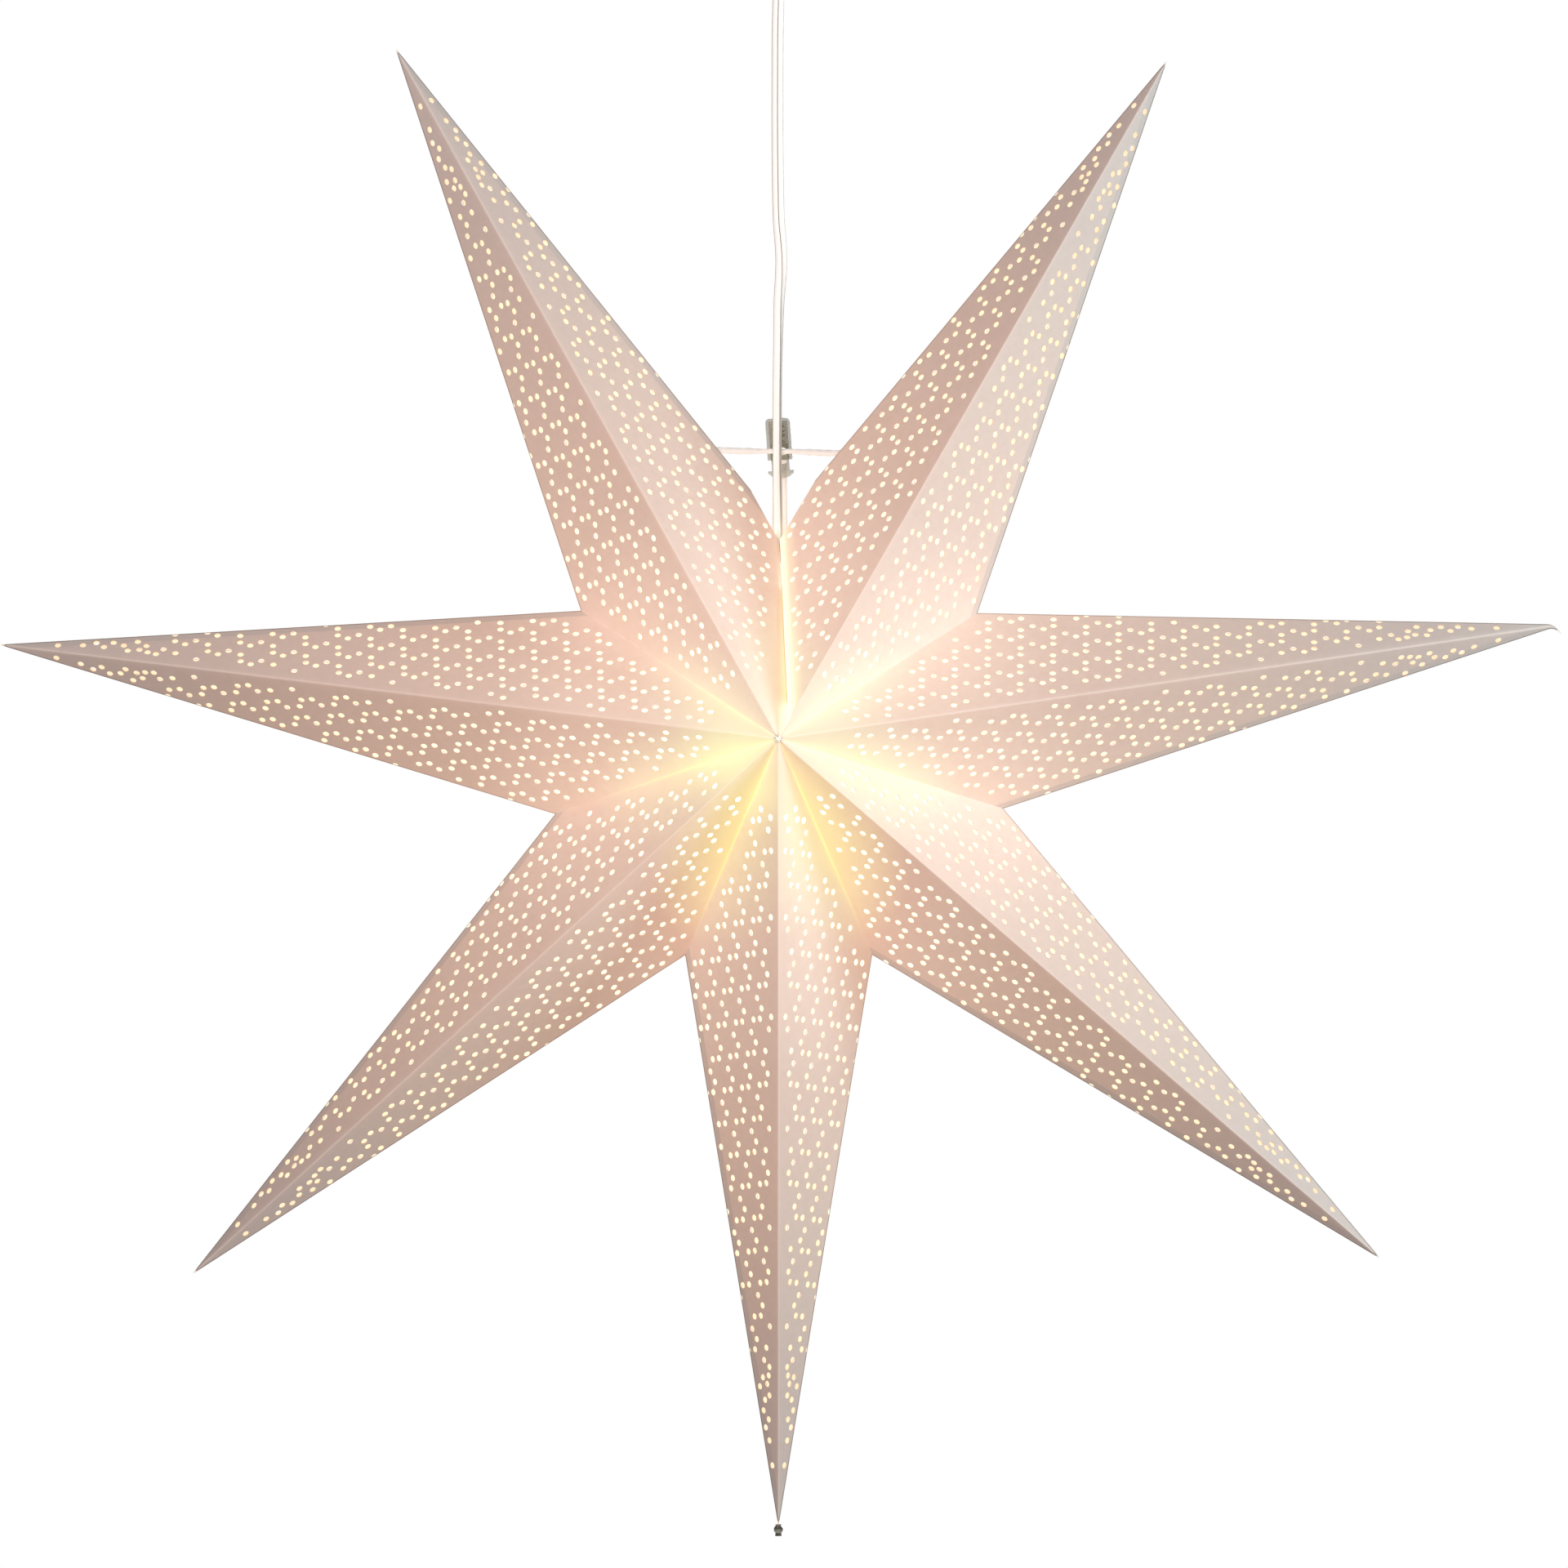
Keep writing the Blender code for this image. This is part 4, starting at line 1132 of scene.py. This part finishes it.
class SheetBuilder:
    """Collects a folded sheet's points, faces, face finishes and the values that its material reads."""

    def __init__(self):
        self.points = []
        self.faces = []
        self.finishes = []
        self.layers = []

    def add_points(self, places, layers):
        """Add points and what the material reads there. Returns the first one's index."""
        first = len(self.points)
        self.points += places
        self.layers += layers
        return first

    def add_panel(self, panel, bisector, extra):
        """A punched panel with the paper's thickness. Its ridge is bent round the fold."""
        flat, triangles = punched_face(panel, panel.holes_clear_of(extra), extra)
        width = FOLD_ROWS[-1]
        outer = []
        inner = []
        layers = []
        for s, t in flat:
            near = max(0.0, 1.0 - t / width)
            place = panel.apex + panel.along * s + panel.across * t - bisector * (FOLD_DEPTH * near * near)
            if panel.curled:
                place.z -= TIP_CURL * max(0.0, 1.0 - (panel.length - s) / TIP_ROWS[-1]) ** 2
            normal = panel.normal.lerp(bisector, near).normalized()
            outer.append(place + normal * (PAPER / 2))
            inner.append(place - normal * (PAPER / 2))
            layers.append(panel.layers(Vector((s, t))))
        first = self.add_points(outer + inner, layers * 2)
        count = len(outer)
        if panel.mirrored:
            triangles = triangles[:, ::-1]
        for tri in triangles:
            p, q, r = (int(v) for v in tri)
            self.faces.append((first + p, first + q, first + r))
            self.finishes.append(OUTSIDE)
            self.faces.append((first + count + r, first + count + q, first + count + p))
            self.finishes.append(INSIDE)
        for p, q in rim_edges(triangles):
            if flat[p][1] < 1e-7 and flat[q][1] < 1e-7:
                continue
            middle = (Vector(flat[p]) + Vector(flat[q])) / 2
            on_side = panel.side_distance(middle) < 0.01 * MM
            on_valley = panel.valley_distance(middle) < 0.01 * MM
            self.faces.append((first + q, first + p, first + count + p, first + count + q))
            self.finishes.append(EDGE if on_side else INSIDE if on_valley else RIM)

    def add_flange(self, panel):
        """The glue flange along a valley, turned inwards."""
        start, end = panel.corners[0], panel.corners[-1]
        low, high = (FLAP_BOTTOM, FLAP_TOP) if panel.right_of_seam else (FLANGE_BOTTOM, FLANGE_TOP)
        inward = Vector((0.0, -1.0 if panel.back else 1.0, 0.0))
        valley = (panel.notch - panel.apex).normalized()
        inward = (inward - valley * inward.dot(valley)).normalized()
        width = FLAP_WIDTH if panel.right_of_seam else FLANGE_WIDTH
        edge = [start.lerp(end, 1.0 - low), start.lerp(end, 1.0 - high)]
        base = [panel.apex + panel.along * p.x + panel.across * p.y for p in edge]
        away = valley.cross(inward).normalized()
        if away.dot(panel.across) > 0:
            away = -away
        taper = valley * (FLANGE_TAPER * width)
        quad = [base[0], base[1], base[1] + inward * width - taper, base[0] + inward * width + taper]
        quad = [p + inward * FLANGE_GAP - away * PAPER for p in quad]
        places = quad + [p - away * PAPER for p in quad]
        first = self.add_points(places, [FLANGE_LAYERS] * len(places))
        normal = (quad[1] - quad[0]).cross(quad[2] - quad[1])
        sides = [(0, 1, 2, 3), (7, 6, 5, 4)] + [(k, k + 4, (k + 1) % 4 + 4, (k + 1) % 4) for k in range(4)]
        for side in sides:
            side = side if normal.dot(away) > 0 else side[::-1]
            self.faces.append(tuple(first + k for k in side))
            self.finishes.append(RIM if panel.right_of_seam else INSIDE)

    def mesh(self, name):
        """The welded mesh."""
        mesh = bpy.data.meshes.new(name)
        mesh.from_pydata(self.points, [], self.faces)
        mesh.polygons.foreach_set("material_index", self.finishes)
        for label, values in zip(LAYERS, np.array(self.layers, np.float32).T):
            layer = mesh.attributes.new(label, "FLOAT", "POINT")
            layer.data.foreach_set("value", np.ascontiguousarray(values))
        bm = bmesh.new()
        bm.from_mesh(mesh)
        bmesh.ops.remove_doubles(bm, verts=bm.verts, dist=2e-6)
        bmesh.ops.dissolve_degenerate(bm, dist=1e-7, edges=bm.edges)
        bm.to_mesh(mesh)
        bm.free()
        return mesh


def string_hole(panel, side):
    """Where the tie string passes through a back panel beside the seam, and the hole's radius."""
    start, end = string_route(side)[0:2]
    direction = (end - start).normalized()
    share = (panel.apex - start).dot(panel.normal) / direction.dot(panel.normal)
    return panel.flat(start + direction * share), STRING_HOLE_RADIUS


def add_star():
    """The seven points, each a single folded sheet of punched card with glue flanges along its valleys."""
    finishes = [paper_outside(), paper_inside(), shaded_paper_edge(), hole_rim()]
    sides = ("left", "right")
    for index in range(len(TIPS)):
        sheet = SheetBuilder()
        for face in ("front", "back"):
            pair = [Panel(index, face, side) for side in sides]
            bisector = (pair[0].normal + pair[1].normal).normalized()
            for panel, side in zip(pair, sides):
                extra = []
                if panel.seam and panel.back:
                    extra = [string_hole(panel, 1 if side == "left" else -1)]
                sheet.add_panel(panel, bisector, extra)
                if not (panel.seam and side == "right"):
                    sheet.add_flange(panel)
        name = f"point_{index + 1}"
        mesh = sheet.mesh(f"paper_{name}")
        point = piece_from(f"paper_{name}", mesh, "star", finishes, 40.0)
        stands_for = [f"{name}_{face}_{side}" for face in ("front", "back") for side in sides]
        if index == 0:
            stands_for += ["seam_flap_front", "seam_flap_back"]
        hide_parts(*stands_for)


# -------------------- cord lock


def add_spring(brass):
    """The lock's coil spring. The real one shortens as the plunger goes in."""
    middle = Vector((LOCK_X, LOCK_Y, STAR_HEIGHT + STRING_HEIGHT))
    across = Vector((LOCK_AXIS.z, 0.0, -LOCK_AXIS.x))
    depth = Vector((0.0, 1.0, 0.0))
    count = round(SPRING_TURNS * 24)
    route = []
    for k in range(count + 1):
        turn = math.tau * SPRING_TURNS * k / count
        share = k / count
        closed = share + 0.06 * math.sin(math.tau * share)
        height = SPRING_LOW + (SPRING_HIGH - SPRING_LOW) * closed
        ring = across * math.cos(turn) + depth * math.sin(turn)
        route.append(middle + LOCK_AXIS * height + ring * SPRING_RADIUS)

    def section(k, place):
        return round_section(SPRING_WIRE, 8), LOCK_AXIS

    mesh = swept_mesh("coil_spring", route, section)
    spring = piece_from("coil_spring", mesh, "cord_lock", [brass])
    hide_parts("cord_lock_spring")
    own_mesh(spring)


# -------------------- lamp


def add_bulb():
    """The globe lamp's glass, alight."""
    centre = (0.0, BULB_CENTRE)
    profile = [(0, BULB_CENTRE - BULB_RADIUS)]
    profile += arc(centre, BULB_RADIUS, -90, SHOULDER_ANGLE, 40)[1:]
    profile += [*SHOULDER, (BULB_NECK, NECK_LOW), (BULB_NECK, NECK_TOP)]
    profile += [(BULB_NECK - GLASS, NECK_TOP), (BULB_NECK - GLASS, NECK_LOW), SHOULDER_INSIDE]
    profile += arc(centre, BULB_RADIUS - GLASS, SHOULDER_ANGLE, -90, 30)[:-1]
    profile += [(0, BULB_CENTRE - BULB_RADIUS + GLASS)]
    mesh = turned_mesh("globe_glass", profile, 72, STAR_HEIGHT)
    bulb = piece_from("globe_glass", mesh, "bulb", [lit_glass()])
    bulb.visible_diffuse = False
    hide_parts("bulb_glass")


def finish_nodes(frame, finish, *names):
    """Give CAD nodes that stay a detailed material."""
    for name in names:
        kept = frame["nodes"][name]
        kept.data.materials.clear()
        kept.data.materials.append(finish)


def main():
    """Build the looks around the frame."""
    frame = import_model()
    add_camera()
    add_stage()
    add_lamp_cord()
    add_tie_strings()
    brass = metal("brass", (0.80, 0.60, 0.28), 0.28)
    steel = metal("steel", (0.60, 0.60, 0.61), 0.28)
    polished = metal("polished_steel", (0.24, 0.23, 0.20), 0.16, 300.0)
    nickel = metal("nickel", (0.70, 0.69, 0.66), 0.26)
    white = plastic("white_plastic", (0.88, 0.87, 0.85), 0.38)
    lit_by_star(white.node_tree.nodes["Principled BSDF"], (0.14, 0.135, 0.125))
    black = plastic("black_glass", (0.03, 0.03, 0.03), 0.22)
    hot = glowing("filament", (1.0, 0.72, 0.32), 4.0)
    finish_nodes(frame, polished, "bottom_tip_bead")
    finish_nodes(frame, clear_plastic(), "cord_lock_barrel", "cord_lock_plunger")
    finish_nodes(frame, white, "holder_strain_relief", "holder_cap", "holder_body", "bulb_stem")
    finish_nodes(frame, white, "ceiling_cup", "terminal_block", "cord_sleeve")
    finish_nodes(frame, brass, "holder_shell", "holder_contact", "bulb_contact")
    finish_nodes(frame, nickel, "bulb_cap")
    finish_nodes(frame, black, "bulb_insulator")
    finish_nodes(frame, hot, "bulb_filament")
    finish_nodes(frame, steel, "ceiling_plate", "cup_screw_left", "cup_screw_right", "cord_clamp")
    add_spring(brass)
    add_bulb()
    add_star()


main()
